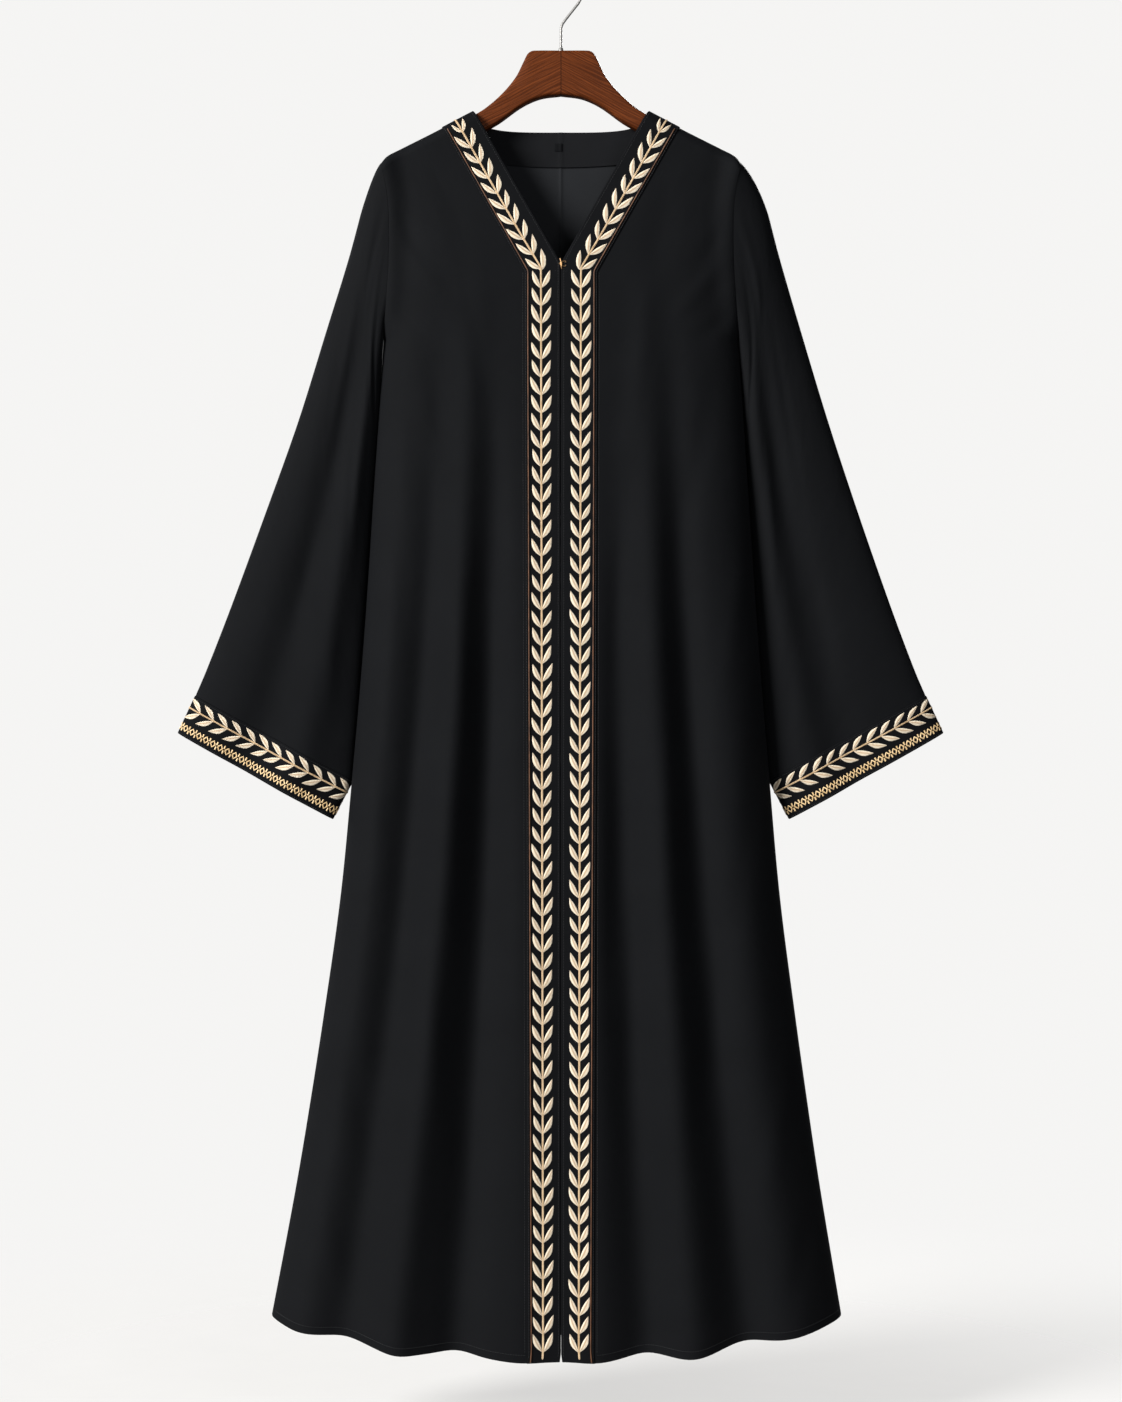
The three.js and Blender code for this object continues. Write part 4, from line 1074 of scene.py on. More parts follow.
def front_path(panel, share_of):
    """A line down a front at a share of the band's width, from the hem up, as x and z"""
    v = np.linspace(2, 0, 1600)
    x, z = panel_place(panel, share_of(v), v)
    return smoothed(np.stack([x, z], 1), 10.0, 1.0)


def sample(path, lengths, at):
    return np.stack([np.interp(at, lengths, path[:, i]) for i in range(path.shape[1])], -1)


def spread_on_front(panel, path, base_lift):
    """Lays wide flat work along a path on a front"""
    lengths = run_lengths(path, 0)
    tangent = unit(np.gradient(path, axis=0))

    def onto(x, y, z):
        centre = sample(path, lengths, y)
        up = sample(tangent, lengths, y)
        past = y - np.clip(y, 0, lengths[-1])
        outward = np.stack([up[:, 1], -up[:, 0]], -1)
        place = centre + outward * (panel.side * x)[:, None] + up * past[:, None]
        return on_panel(panel, place[:, 0], place[:, 1], z + base_lift)

    return onto, lengths[-1]


def along_line(points, outs):
    """Lays narrow flat work along points in space, each with its outward direction"""
    lengths = run_lengths(points, 0)
    tangent = unit(np.gradient(points, axis=0))
    side = unit(np.cross(tangent, outs))

    def onto(x, y, z):
        centre, across, up = sample(points, lengths, y), sample(side, lengths, y), sample(outs, lengths, y)
        past = (y - np.clip(y, 0, lengths[-1]))[:, None]
        return centre + across * x[:, None] + up * z[:, None] + sample(tangent, lengths, y) * past

    return onto, lengths[-1]


def surface_line(surface, u, v, lift):
    u, v = np.broadcast_arrays(np.asarray(u, float), np.asarray(v, float))
    out = outward_at(surface, u, v)
    return along_line(surface.point(u, v) + out * lift, out)


# %% [markdown]
# ## Embroidery threads
# Satin stitch lies in close parallel threads, which shine along their length. Each leaf has a cream rim and a
# tan middle, so the colour goes by the leaf's own UV map: across from rim to rim, and along from base to tip.
# The threads are fine sloping ridges in the bump, with a little painted shade that darkens the colour in the
# grooves between them, and each leaf is a touch lighter or darker than the next.

# %% Thread finishes


def leaf_finish():
    finish = Finish("cream_and_tan_satin_stitch")
    across, along = finish.uv("thread")
    away = abs(across - 0.5) * 2.0
    tone = finish.add("ShaderNodeAttribute", {"attribute_name": "tone"})["Fac"]
    drift = finish.noise(finish.place(across, along), 5.0, 2.0)
    rim = (away + (drift - 0.5) * 0.35).between(0.1, 0.5)
    threads = ((along * 46.0 - away * 7.0 + drift * 1.5) * TURN).sine()
    # Each leaf's own random tone, and painted shade: the colour is a little darker in the grooves between
    # threads
    tone_and_groove_shade = 0.93 + tone * 0.12 + threads * 0.05
    colour = finish.blend(rim, (0.52, 0.37, 0.235), (0.76, 0.66, 0.51))
    finish.set(
        base_color=finish.blend(1.0, colour, finish.place(tone_and_groove_shade, tone_and_groove_shade, tone_and_groove_shade), "MULTIPLY"),
        roughness=0.5 - threads * 0.06,
        specular_ior_level=0.4,
        sheen_weight=0.12,
        sheen_roughness=0.35,
        anisotropic=0.35,
    )
    finish.bumps((threads, 0.00007), (drift, 0.00012))
    return finish.material


def thread_finish(name, dark, light, roughness, scale=1600.0):
    finish = Finish(name)
    place = finish.own_place()
    fibre = finish.noise(place, scale, 2.0, 0.6)
    slow = finish.noise(place, 90.0, 2.0)
    finish.set(
        base_color=finish.blend((fibre * 0.6 + slow * 0.5).between(0.25, 0.85), dark, light),
        roughness=roughness + (fibre - 0.5) * 0.15,
        specular_ior_level=0.4,
    )
    finish.bumps((fibre, 0.00008))
    return finish.material


LEAF_THREAD = leaf_finish()
STEM_THREAD = thread_finish("pale_gold_stem_thread", (0.38, 0.25, 0.13), (0.68, 0.52, 0.34), 0.45)
ORNAMENT_THREAD = thread_finish("old_gold_metallic_thread", (0.4, 0.25, 0.1), (0.82, 0.61, 0.34), 0.42)
COPPER_CORD = thread_finish("copper_brown_cord", (0.016, 0.007, 0.004), (0.17, 0.07, 0.028), 0.5)
BLACK_THREAD = thread_finish("black_sewing_thread", (0.004, 0.004, 0.005), (0.018, 0.019, 0.021), 0.6)
print("thread finishes ready")

# %% [markdown]
# ## Vine leaves
# A leaf is a low dome of satin stitch, a long lens pointed at both ends. Its lower edge is the fuller one, so
# the tip turns upright, and a shallow groove runs where its two rows of stitches meet. A left and a right
# leaf are set out in pairs up the stem, each with a small fixed-seed change of size, lean and tone. The shape
# is repeated hundreds of times, so it has few faces.

# %% One leaf
LEAF = {"lean": 26.5, "length": 23.3, "width": 5.9, "height": 0.7, "bend": 0.8, "base": 0.06}
# Lean, length and width of the leaves above and below a cuff's stem
UPPER_LEAF, LOWER_LEAF = (30, 20.8, 5.4), (33, 22.8, 5.6)


def leaf_shape(name, hand, lean, length, width):
    """hand is 1 for the right-hand leaf, and lean its angle from the stem in degrees"""
    t = np.array([0, 0.035, 0.12, 0.26, 0.43, 0.6, 0.76, 0.89, 0.97, 1.0])
    q = np.array([-1, -0.6, 0, 0.6, 1])
    half = width / 2 * 1.03 * np.sin(np.pi * t**0.97) ** 0.95
    t_grid, q_grid = np.meshgrid(t, q, indexing="ij")
    half_grid = np.meshgrid(half, q, indexing="ij")[0]
    belly = np.where(q_grid > 0, 1.16, 0.84)
    middle = 0.5 + LEAF["bend"] * np.sin(np.pi * t_grid)
    x = middle + q_grid * half_grid * belly
    y = t_grid * length
    dome = np.clip(1 - q_grid**2, 0, 1) ** 0.55
    groove = 0.14 * np.exp(-((q_grid / 0.22) ** 2))
    fullness = np.clip(np.sin(np.pi * np.clip(t_grid, 0.02, 0.985)), 0, 1) ** 0.35
    z = LEAF["base"] + LEAF["height"] * (dome - groove) * fullness
    turn = math.radians(lean)
    x, y = x * math.cos(turn) + y * math.sin(turn), y * math.cos(turn) - x * math.sin(turn)
    top = np.stack([hand * x, y, z], -1).reshape(-1, 3)
    rows, columns = t_grid.shape
    r, c = corner_grid(rows, columns, False)
    faces = (r * columns + c).tolist()
    border = [i * columns for i in range(rows)]
    border += [(rows - 1) * columns + j for j in range(1, columns)]
    border += [i * columns + columns - 1 for i in range(rows - 2, -1, -1)]
    border += [j for j in range(columns - 2, 0, -1)]
    below = [*top, *[top[i] * (1, 1, 0) for i in border]]
    under = [len(top) + i for i in range(len(border))]
    for i in range(len(border)):
        after = (i + 1) % len(border)
        faces.append([border[i], border[after], under[after], under[i]])
    half_way = len(under) // 2
    faces += [[under[i], under[i + 1], under[-i - 2], under[-i - 1]] for i in range(half_way - 1)]
    mesh = mesh_of(name, np.array(below), faces)
    layer = mesh.uv_layers.new(name="thread")
    uv = [((q_grid.ravel()[i] + 1) / 2, t_grid.ravel()[i]) for i in range(len(top))]
    uv += [uv[i] for i in border]
    for loop in mesh.loops:
        layer.data[loop.index].uv = uv[loop.vertex_index]
    return pattern(name, mesh, LEAF_THREAD)


def pattern(name, mesh, finish, sharp=60):
    """A shape that only serves to be copied, so it isn't part of the scene"""
    shape = bpy.data.objects.new(name, finished(turned_out(mesh, merged=True), finish, sharp))
    patterns.objects.link(shape)
    return shape


patterns = bpy.data.collections.new("patterns")
chest_leaf_right, chest_leaf_left = [
    leaf_shape(name, hand, LEAF["lean"], LEAF["length"], LEAF["width"])
    for name, hand in (("leaf_right", 1), ("leaf_left", -1))
]
cuff_leaves = {
    "right": (leaf_shape("upper_leaf_right", 1, *UPPER_LEAF), leaf_shape("lower_leaf_left", -1, *LOWER_LEAF)),
    "left": (leaf_shape("lower_leaf_right", 1, *LOWER_LEAF), leaf_shape("upper_leaf_left", -1, *UPPER_LEAF)),
}
print("one leaf has", len(chest_leaf_right.data.polygons), "faces")

# %% The vine's recipe


def vine_recipe():
    right, left = chest_leaf_right, chest_leaf_left
    recipe = Recipe(
        "leaf_pairs", Right_Leaf=right, Left_Leaf=left, Pair_Spacing=0.0204, Small_Pair_At=9.0,
        Size_Change=0.05, Lean_Change=0.04, Seed=3, Thread=LEAF_THREAD,
    )
    points = recipe.points_along(recipe.size("Pair_Spacing"))
    along = recipe.parts(recipe.add("GeometryNodeInputPosition")[0])[1]
    near_top = (along - recipe.size("Small_Pair_At")).between(-0.02, 0.0)
    rows = []
    for i, leaf in enumerate(("Right_Leaf", "Left_Leaf")):
        change = recipe.random(-1.0, 1.0, recipe.size("Seed") + float(i))
        lean = recipe.random(-1.0, 1.0, recipe.size("Seed") + float(i + 10))
        scale = (1.0 + change * recipe.size("Size_Change")) * (1.0 - near_top * 0.32)
        turn = recipe.place(0.0, 0.0, lean * recipe.size("Lean_Change"))
        wide = recipe.place(scale, scale, 1.0)
        leaves = recipe.copies(points, recipe.size(leaf), rotation=turn, scale=wide)
        tone = recipe.random(0.0, 1.0, recipe.size("Seed") + float(i + 20))
        settings = {"data_type": "FLOAT", "domain": "INSTANCE"}
        values = {"Geometry": leaves, "Name": "tone", "Value": tone}
        rows.append(recipe.add("GeometryNodeStoreNamedAttribute", settings, values)[0])
    return recipe.end(recipe.join(*rows), recipe.size("Thread"))


leaf_pairs = vine_recipe()

# %% The vines of the front bands
STEM_SHARE = line_through(table("v share", (0, 0.58), (0.5, 0.58), (0.72, 0.546), (2, 0.546)), "v", "share")
VINE_FOOT, VINE_TOP, LEAF_REACH, PAIR_SPACING = 12.0, 3.0, 16.0, 20.3
A_HAIR_LESS = 0.99999
vine_pieces, vine_paths = {}, {}
for panel in FRONTS:
    path = vine_paths[panel.name] = front_path(panel, STEM_SHARE)
    onto, length = spread_on_front(panel, path, BAND_HIGH)
    run = length - VINE_FOOT - VINE_TOP - LEAF_REACH
    spacing = run / round(run / PAIR_SPACING)
    piece = grown(
        f"leaves_{panel.name}", leaf_pairs, flat_line(run * MM), Pair_Spacing=spacing * MM * A_HAIR_LESS,
        Small_Pair_At=(run - 4) * MM, Seed=3 if panel.side < 0 else 41,
    )
    vine_pieces[panel.name] = laid(piece, lambda x, y, z, onto=onto: onto(x, y + VINE_FOOT, z))
    print(f"vine {panel.name}: {length:.0f} mm long, pairs {spacing:.2f} mm apart")

# %% [markdown]
# ## Stems, cords and stitches
# A stem is two rows of short slanting stitches in pale gold. The corded line is a three-ply cord, so its
# section has three lobes and turns steadily along its length. Plain stitches are one small rounded shape,
# repeated at an even pitch. All three are recipes on a line, with only their sizes changed from seam to seam.

# %% One stitch


def stitch_shape(name, finish, sides):
    """A thread that dips into the cloth at both ends, one unit long, wide and high"""
    rings = ((-0.5, 0.2, 0.0), (-0.28, 0.92, 0.42), (0.28, 0.92, 0.42), (0.5, 0.2, 0.0))
    angles = [TURN * k / sides for k in range(sides)]
    points = [
        (0.5 * size * math.cos(angle), y, lift + 0.5 * size * math.sin(angle))
        for y, size, lift in rings for angle in angles
    ]
    return pattern(name, mesh_of(name, points, tube_faces(len(rings), sides)), finish)


STITCH = stitch_shape("one_stitch", BLACK_THREAD, 4)

# %% Recipes for stitches, stems and cord


def stitch_recipe():
    recipe = Recipe(
        "row_of_stitches", Stitch=STITCH, Pitch=0.003, Length=2.2, Width=0.45, Height=0.4, Slant=0.0,
        Thread=BLACK_THREAD,
    )
    points = recipe.points_along(recipe.size("Pitch"))
    turn = recipe.place(0.0, 0.0, recipe.size("Slant"))
    scale = recipe.place(recipe.size("Width"), recipe.size("Length"), recipe.size("Height"))
    row = recipe.copies(points, recipe.size("Stitch"), rotation=turn, scale=scale)
    return recipe.end(row, recipe.size("Thread"))


def stem_recipe():
    recipe = Recipe(
        "slanting_stem", Stitch=STITCH, Pitch=0.0013, Length=3.0, Width=0.95, Height=0.9, Slant=0.36,
        Row_Offset=0.00045, Thread=STEM_THREAD,
    )
    points = recipe.points_along(recipe.size("Pitch"))
    scale = recipe.place(recipe.size("Width"), recipe.size("Length"), recipe.size("Height"))
    rows = []
    for hand in (1.0, -1.0):
        turn = recipe.place(0.0, 0.0, recipe.size("Slant") * -hand)
        move = {"Geometry": points, "Offset": recipe.place(recipe.size("Row_Offset") * hand, 0.0, 0.0)}
        aside = recipe.add("GeometryNodeSetPosition", None, move)[0]
        rows.append(recipe.copies(aside, recipe.size("Stitch"), rotation=turn, scale=scale))
    return recipe.end(recipe.join(*rows), recipe.size("Thread"))


def cord_recipe():
    recipe = Recipe("twisted_cord", Step=0.0008, Radius=0.00062, Lobe=0.22, Twist=1900.0, Thread=COPPER_CORD)
    line = recipe.points_along(recipe.size("Step"))
    reached = recipe.add("GeometryNodeSplineParameter")["Length"]
    values = {"Curve": line, "Tilt": reached * recipe.size("Twist")}
    tilted = recipe.add("GeometryNodeSetCurveTilt", None, values)[0]
    ring = recipe.add("GeometryNodeCurvePrimitiveCircle", {"mode": "RADIUS"}, {"Resolution": 9})[0]
    number = recipe.add("GeometryNodeInputIndex")[0]
    third = recipe.add("ShaderNodeMath", {"operation": "MODULO"}, {0: number, 1: 3.0})[0]
    lobe = 1.0 + (1.0 - third.between(0.0, 1.0)) * recipe.size("Lobe")
    radius = lobe * recipe.size("Radius")
    here = recipe.add("GeometryNodeInputPosition")[0]
    wide = recipe.add("ShaderNodeVectorMath", {"operation": "SCALE"}, {0: here, "Scale": radius})[0]
    section = recipe.add("GeometryNodeSetPosition", None, {"Geometry": ring, "Position": wide})[0]
    values = {"Curve": tilted, "Profile Curve": section, "Fill Caps": True}
    cord = recipe.add("GeometryNodeCurveToMesh", None, values)[0]
    smooth = recipe.add("GeometryNodeSetShadeSmooth", None, {"Geometry": cord})[0]
    return recipe.end(smooth, recipe.size("Thread"))


stitches, stem, twisted_cord = stitch_recipe(), stem_recipe(), cord_recipe()

# %% The stems and cords of the front bands
STEM_FOOT, STEM_TOP, STEM_SUNK = 5.0, 1.5, 0.1
CORD_FOOT, CORD_TOP, CORD_LIFT = 1, 8, 0.6
stem_pieces, cord_pieces = {}, {}
for panel in FRONTS:
    onto, length = spread_on_front(panel, vine_paths[panel.name], BAND_HIGH - STEM_SUNK)
    piece = grown(f"stem_{panel.name}", stem, flat_line((length - STEM_FOOT - STEM_TOP) * MM))
    stem_pieces[panel.name] = laid(piece, lambda x, y, z, onto=onto: onto(x, y + STEM_FOOT, z))
    path = front_path(panel, lambda v: np.full_like(v, CORD_SHARE))
    onto, length = spread_on_front(panel, path, BAND_HIGH + CORD_LIFT)
    piece = grown(f"cord_{panel.name}", twisted_cord, flat_line((length - CORD_FOOT - CORD_TOP) * MM))
    cord_pieces[panel.name] = laid(piece, lambda x, y, z, onto=onto: onto(x, y + CORD_FOOT, z))

# %% [markdown]
# ## The cuffs' vine and gold strip
# A cuff carries the same leaves lying along it, tips towards the outer edge, and below them a narrow strip in
# old gold. The strip is a plain lattice: a row of open diamonds with an upright bar between each two. One
# repeat is drawn as flat ribbons of thread and set out round the cuff.

# %% Flat work round a cuff
CUFF_TALL = 48.5
STEM_ABOVE_EDGE, STRIP_ABOVE_EDGE = 33.0, 9.8


def around_cuff(arm, above_edge):
    """Lays flat work round a cuff. It starts under the arm, crosses the front to the outer edge and goes on
    over the back"""
    surface = tube_surface(arm, cuff_point)
    s = 1 - above_edge / CUFF_TALL
    turns = np.linspace(0.5, -0.5, 721)
    lengths = run_lengths(surface.point(turns % 1.0, np.full_like(turns, s)), 0)

    def onto(x, y, z):
        turn = np.interp(y, lengths, turns) % 1.0
        down = np.clip(s + arm.side * x / CUFF_TALL, 0.0, 1.0)
        return spot(surface, turn, down, z + CUFF_STEP)

    return onto, lengths[-1]


# %% One repeat of the gold strip
STRIP = {"height": 9.4, "repeat": 9.2, "thread": 1.75, "thick": 0.6}


def ribbon(points, faces, path, width, thick):
    """A low rounded ribbon of thread along a short path, closed underneath"""
    path = np.array(path, float)
    tangent = unit(np.gradient(path, axis=0))
    side = np.stack([tangent[:, 1], -tangent[:, 0]], 1)
    start = len(points)
    for centre, aside in zip(path, side):
        for across, up in ((-0.5, 0.02), (-0.28, 0.8), (0.28, 0.8), (0.5, 0.02)):
            x, y = centre + aside * across * width
            points.append((x, y, up * thick + 0.05))
    for i in range(len(path) - 1):
        for k in range(4):
            a, b = start + i * 4 + k, start + i * 4 + (k + 1) % 4
            faces.append((a, b, b + 4, a + 4))
    last = start + (len(path) - 1) * 4
    faces += [(start + 3, start + 2, start + 1, start), (last, last + 1, last + 2, last + 3)]


def strip_repeat():
    points, faces = [], []
    half, step, wide, thick = STRIP["height"] / 2, STRIP["repeat"] / 2, STRIP["thread"], STRIP["thick"]
    for hand in (-1, 1):
        side = [(0, -2.9), (hand * (half - 1.0), 0), (0, 2.9)]
        ribbon(points, faces, side, wide, thick)
        ribbon(points, faces, [(hand * 0.9, -step), (hand * half, -step)], wide, thick * 1.1)
    return pattern("strip_repeat", mesh_of("strip_repeat", points, faces), ORNAMENT_THREAD, 75)


def strip_recipe(shape):
    recipe = Recipe("gold_strip", Repeat_Shape=shape, Repeat=0.007, Thread=ORNAMENT_THREAD)
    points = recipe.points_along(recipe.size("Repeat"))
    return recipe.end(recipe.copies(points, recipe.size("Repeat_Shape")), recipe.size("Thread"))


one_repeat = strip_repeat()
gold_strip = strip_recipe(one_repeat)
print("one repeat of the strip has", len(one_repeat.data.polygons), "faces")

# %% The cuffs' embroidery
CUFF_PAIR_SPACING = 18.0
cuff_work = {}
for arm in ARMS:
    onto, length = around_cuff(arm, STEM_ABOVE_EDGE)
    count = round(length / CUFF_PAIR_SPACING)
    spacing = length / count
    right_leaf, left_leaf = cuff_leaves[arm.name]
    leaves = grown(
        f"leaves_cuff_{arm.name}", leaf_pairs, flat_line((length - spacing) * MM), Right_Leaf=right_leaf,
        Left_Leaf=left_leaf, Pair_Spacing=spacing * MM * A_HAIR_LESS, Seed=77 if arm.side < 0 else 113,
    )
    laid(leaves, onto)
    stem_line = grown(f"stem_cuff_{arm.name}", stem, flat_line(length * MM), Width=0.72, Row_Offset=0.00034)
    laid(stem_line, onto)
    onto, length = around_cuff(arm, STRIP_ABOVE_EDGE)
    repeats = round(length / STRIP["repeat"])
    repeat = length / repeats
    line = flat_line((length - repeat) * MM)
    strip = laid(grown(f"gold_strip_{arm.name}", gold_strip, line, Repeat=repeat * MM * A_HAIR_LESS), onto)
    cuff_work[arm.name] = (leaves, stem_line, strip)
    print(f"cuff {arm.name}: {count} pairs {spacing:.1f} mm apart, {repeats} repeats of {repeat:.2f} mm")

# %% [markdown]
# ## Seams and topstitching
# Rows of black stitches hold the band's edges, the hem, the cuffs and the neck facing. They hardly show in a
# photo, but they tell the eye how the robe is sewn, and they catch a little light close up.

# %% Rows of stitches
BAND_PITCH, HEM_PITCH, NECK_PITCH, CUFF_PITCH, FACING_PITCH = 3.0, 2.9, 2.7, 2.8, 2.6
BAND_STITCH_SHARES, CUFF_STITCH_SHARES, FACING_STITCH_SHARES = (0.075, 0.972), (0.06, 0.965), (0.13, 0.94)
seam_lines = []
for panel in FRONTS:
    surface = panel_surface(panel)
    down = np.linspace(0.012, 1.995, 1500)
    for share in BAND_STITCH_SHARES:
        seam_lines.append((surface_line(surface, share, down, BAND_HIGH), BAND_PITCH))
    seam_lines.append((surface_line(surface, 1.012, np.linspace(V_ROW, 1.99, 900), 0.0), BAND_PITCH))
for panel in PANELS.values():
    surface = panel_surface(panel)
    across = np.linspace(1.01 if panel.banded else 0.004, 1.985, 400)
    seam_lines.append((surface_line(surface, across, HEM_ROW, 0.0), HEM_PITCH))
for panel in (PANELS["back_right"], PANELS["back_left"]):
    along_neck = np.linspace(0.02, BACK_NECK_SHARE, 200)
    seam_lines.append((surface_line(panel_surface(panel), 0.05, along_neck, 0.0), NECK_PITCH))
for arm in ARMS:
    for s in CUFF_STITCH_SHARES:
        turns = np.linspace(0.5, 1.5, 361)
        surface = tube_surface(arm, cuff_point)
        seam_lines.append((surface_line(surface, turns % 1.0, s, CUFF_STEP), CUFF_PITCH))
facing_face = -(CLOTH_THICK + FACING["stand"] + FACING["thick"])
for share in FACING_STITCH_SHARES:
    across = np.linspace(-0.985, 0.985, 300)
    seam_lines.append((surface_line(facing_surface, across, share, facing_face), FACING_PITCH))


def all_stitches():
    sewn = []
    for (onto, length), pitch in seam_lines:
        row = grown("row", stitches, flat_line((length - pitch) * MM), Pitch=pitch * MM, Length=pitch * 0.78)
        sewn.append(laid(row, lambda x, y, z, onto=onto, pitch=pitch: onto(x, y + pitch / 2, z)))
    return joined("topstitching", sewn)


topstitching = all_stitches()
print("topstitching:", len(topstitching.data.polygons), "faces")

# %% [markdown]
# ## Hook and eye
# A wire loop on one edge of the V and a bent wire hook on the other hold the fronts together. Both are bare
# copper-gold wire, swept along a short path, with a few black stitches over their feet.

# %% Wires
# How far past its end a wire's rounded end reaches, and how wide it is there, as shares of its radius
ROUND_END = np.array(((0.5, 0.87), (0.87, 0.5), (1.0, 0.05)))


def wire(name, path, radius, finish, sides=10):
    """A round wire through points in millimetres, with rounded ends. radius may be one for each point"""
    path = np.array(path, float)
    radius = np.broadcast_to(np.asarray(radius, float), len(path))
    tangent = unit(np.gradient(path, axis=0))
    past, width = ROUND_END.T
    first = path[0] - np.outer(past[::-1] * radius[0], tangent[0])
    last = path[-1] + np.outer(past * radius[-1], tangent[-1])
    path = np.concatenate([first, path, last])
    radius = np.concatenate([width[::-1] * radius[0], radius, width * radius[-1]])
    count = len(ROUND_END)
    tangent = np.concatenate([tangent[:1].repeat(count, 0), tangent, tangent[-1:].repeat(count, 0)])
    across = unit(np.cross([0.0, 1.0, 0.0], tangent))
    outward = np.cross(tangent, across)
    angles = np.arange(sides) * TURN / sides
    rings = path[:, None] + radius[:, None, None] * (
        across[:, None] * np.cos(angles)[None, :, None] + outward[:, None] * np.sin(angles)[None, :, None]
    )
    mesh = mesh_of(name, rings.reshape(-1, 3), tube_faces(len(path), sides))
    return add_piece(name, finished(turned_out(mesh), finish, 180))


def curved(points, count):
    """A smooth path through a few points"""
    points = np.array(points, float)
    reach = run_lengths(points, 0)
    rows = {"t": reach, **{axis: points[:, i] for i, axis in enumerate("xyz")}}
    at = np.linspace(0, reach[-1], count)
    return np.stack([line_through(rows, "t", axis)(at) for axis in "xyz"], -1)


# %% Metals


def metal(name, colour, roughness, scratch_scale=900.0):
    finish = Finish(name)
    place = finish.own_place()
    fine = finish.noise(place, scratch_scale, 3.0, 0.6)
    slow = finish.noise(place, 60.0, 2.0)
    dull = tuple(0.8 * c for c in colour)
    finish.set(
        base_color=finish.blend(slow.between(0.3, 0.75), dull, colour),
        roughness=roughness + (fine - 0.5) * 0.1 + (slow - 0.5) * 0.08,
        metallic=1.0,
    )
    finish.bumps((fine, 0.00001))
    return finish.material


COPPER_GOLD = metal("satin_copper_gold_wire", (0.55, 0.33, 0.16), 0.34)
NICKEL = metal("bright_nickel_wire", (0.26, 0.255, 0.247), 0.52, 150.0)

# %% The hook and the eye
CLOSURE_Z, EYE_WIRE, HOOK_WIRE = -338.0, 0.42, 0.55
cloth_depth = float(body_depth(FRONTS[0], np.array(V_POINT[0]), np.array(CLOSURE_Z)))
band_face_y = -(cloth_depth + HALF_GAP + BAND_HIGH)
eye_y, hook_y = band_face_y - EYE_WIRE - 0.1, band_face_y - 2 * EYE_WIRE - HOOK_WIRE - 0.25


def in_closure(points, y):
    return [(x, y, CLOSURE_Z + z) for x, z in points]


eye_path = curved(
    in_closure(
        [(5.4, 1.5), (4.6, 2.9), (2.6, 2.7), (0.3, 2.2), (-1.1, 0), (0.3, -2.2), (2.6, -2.7), (4.6, -2.9),
         (5.4, -1.5)], eye_y,
    ), 48,
)
HOOK_POINTS = 36
hook_path = curved(
    in_closure([(-0.9, 5.6), (-0.5, 3.4), (0.3, 1.2), (0.5, -1.0), (0.2, -3.4), (0.7, -5.6)], hook_y),
    HOOK_POINTS,
)
hook_thick = HOOK_WIRE * (1.35 + 0.35 * np.cos(np.linspace(-2.6, 2.6, HOOK_POINTS)))
eye_piece = wire("eye_loop", eye_path, EYE_WIRE, COPPER_GOLD)
hook_piece = wire("hook_bar", hook_path, hook_thick, COPPER_GOLD)

CLOSURE_STITCHES = ((-6.5, -9.2), (-6.2, -8.0), (5.2, -8.6), (6.6, -8.2), (4.9, 1.6), (4.9, -1.7))


def closure_stitches():
    sewn = []
    for i, (x, z) in enumerate(CLOSURE_STITCHES):
        lean = 0.5 * math.sin(2.3 * i)
        ends = [(x - 1.1, z - lean), (x, z), (x + 1.1, z + lean)]
        rise = (0.1, 0.75, 0.1) if abs(x) < 5 else (0.05, 0.3, 0.05)
        path = [(px, band_face_y - up, CLOSURE_Z + pz) for (px, pz), up in zip(ends, rise)]
        sewn.append(wire(f"closure_stitch_{i}", path, 0.3, BLACK_THREAD, 6))
    return joined("closure_stitches", sewn)


closure_sewing = closure_stitches()

# %% [markdown]
# ## Wooden hanger
# Two arms of red-brown wood are glued at the middle. Each is a board whose outline is drawn with the same
# tables as the solid, with well rounded edges. The grain runs along each arm, so the two meet in a chevron at
# the glue line. An attribute holds each point's place along, across and through its arm, and the wood finish
# reads the grain from it.

# %% Wood


def wood_finish():
    finish = Finish("red_brown_varnished_wood")
    grain = finish.add("ShaderNodeAttribute", {"attribute_name": "grain"})["Vector"]
    along, across, deep = finish.parts(grain)
    sway = finish.noise(finish.place(along * 0.012, across * 0.05, deep * 0.05), 1.0, 2.0)
    swayed = finish.place(along * 0.02, across * 0.85 + sway * 3.0, deep * 0.4)
    long_lines = finish.noise(swayed, 1.0, 3.0, 0.6)
    pores = finish.noise(finish.place(along * 0.11, across * 3.2, deep * 3.0), 1.0, 2.0, 0.7)
    rings = ((across * 0.55 + deep * 0.25 + sway * 9.0 + along * 0.01) * TURN * 0.5).sine()
    tone = long_lines * 0.75 + rings * 0.06 + 0.08
    colour = finish.blend(tone.between(0.28, 0.72), (0.049, 0.0112, 0.0027), (0.137, 0.034, 0.0082))
    dark_pores = pores.between(0.56, 0.72)
    glue_line = 1.0 - abs(finish.parts(finish.own_place())[0]).between(0.0003, 0.0009)
    finish.set(
        base_color=finish.blend(dark_pores * 0.6 + glue_line * 0.7, colour, (0.018, 0.005, 0.002)),
        roughness=0.45 + (long_lines - 0.5) * 0.2 + dark_pores * 0.12,
        specular_ior_level=0.05,
        coat_weight=0.03,
        coat_roughness=0.35,
    )
    finish.bumps((long_lines, 0.00012), (1.0 - dark_pores, 0.00005))
    return finish.material


WOOD = wood_finish()

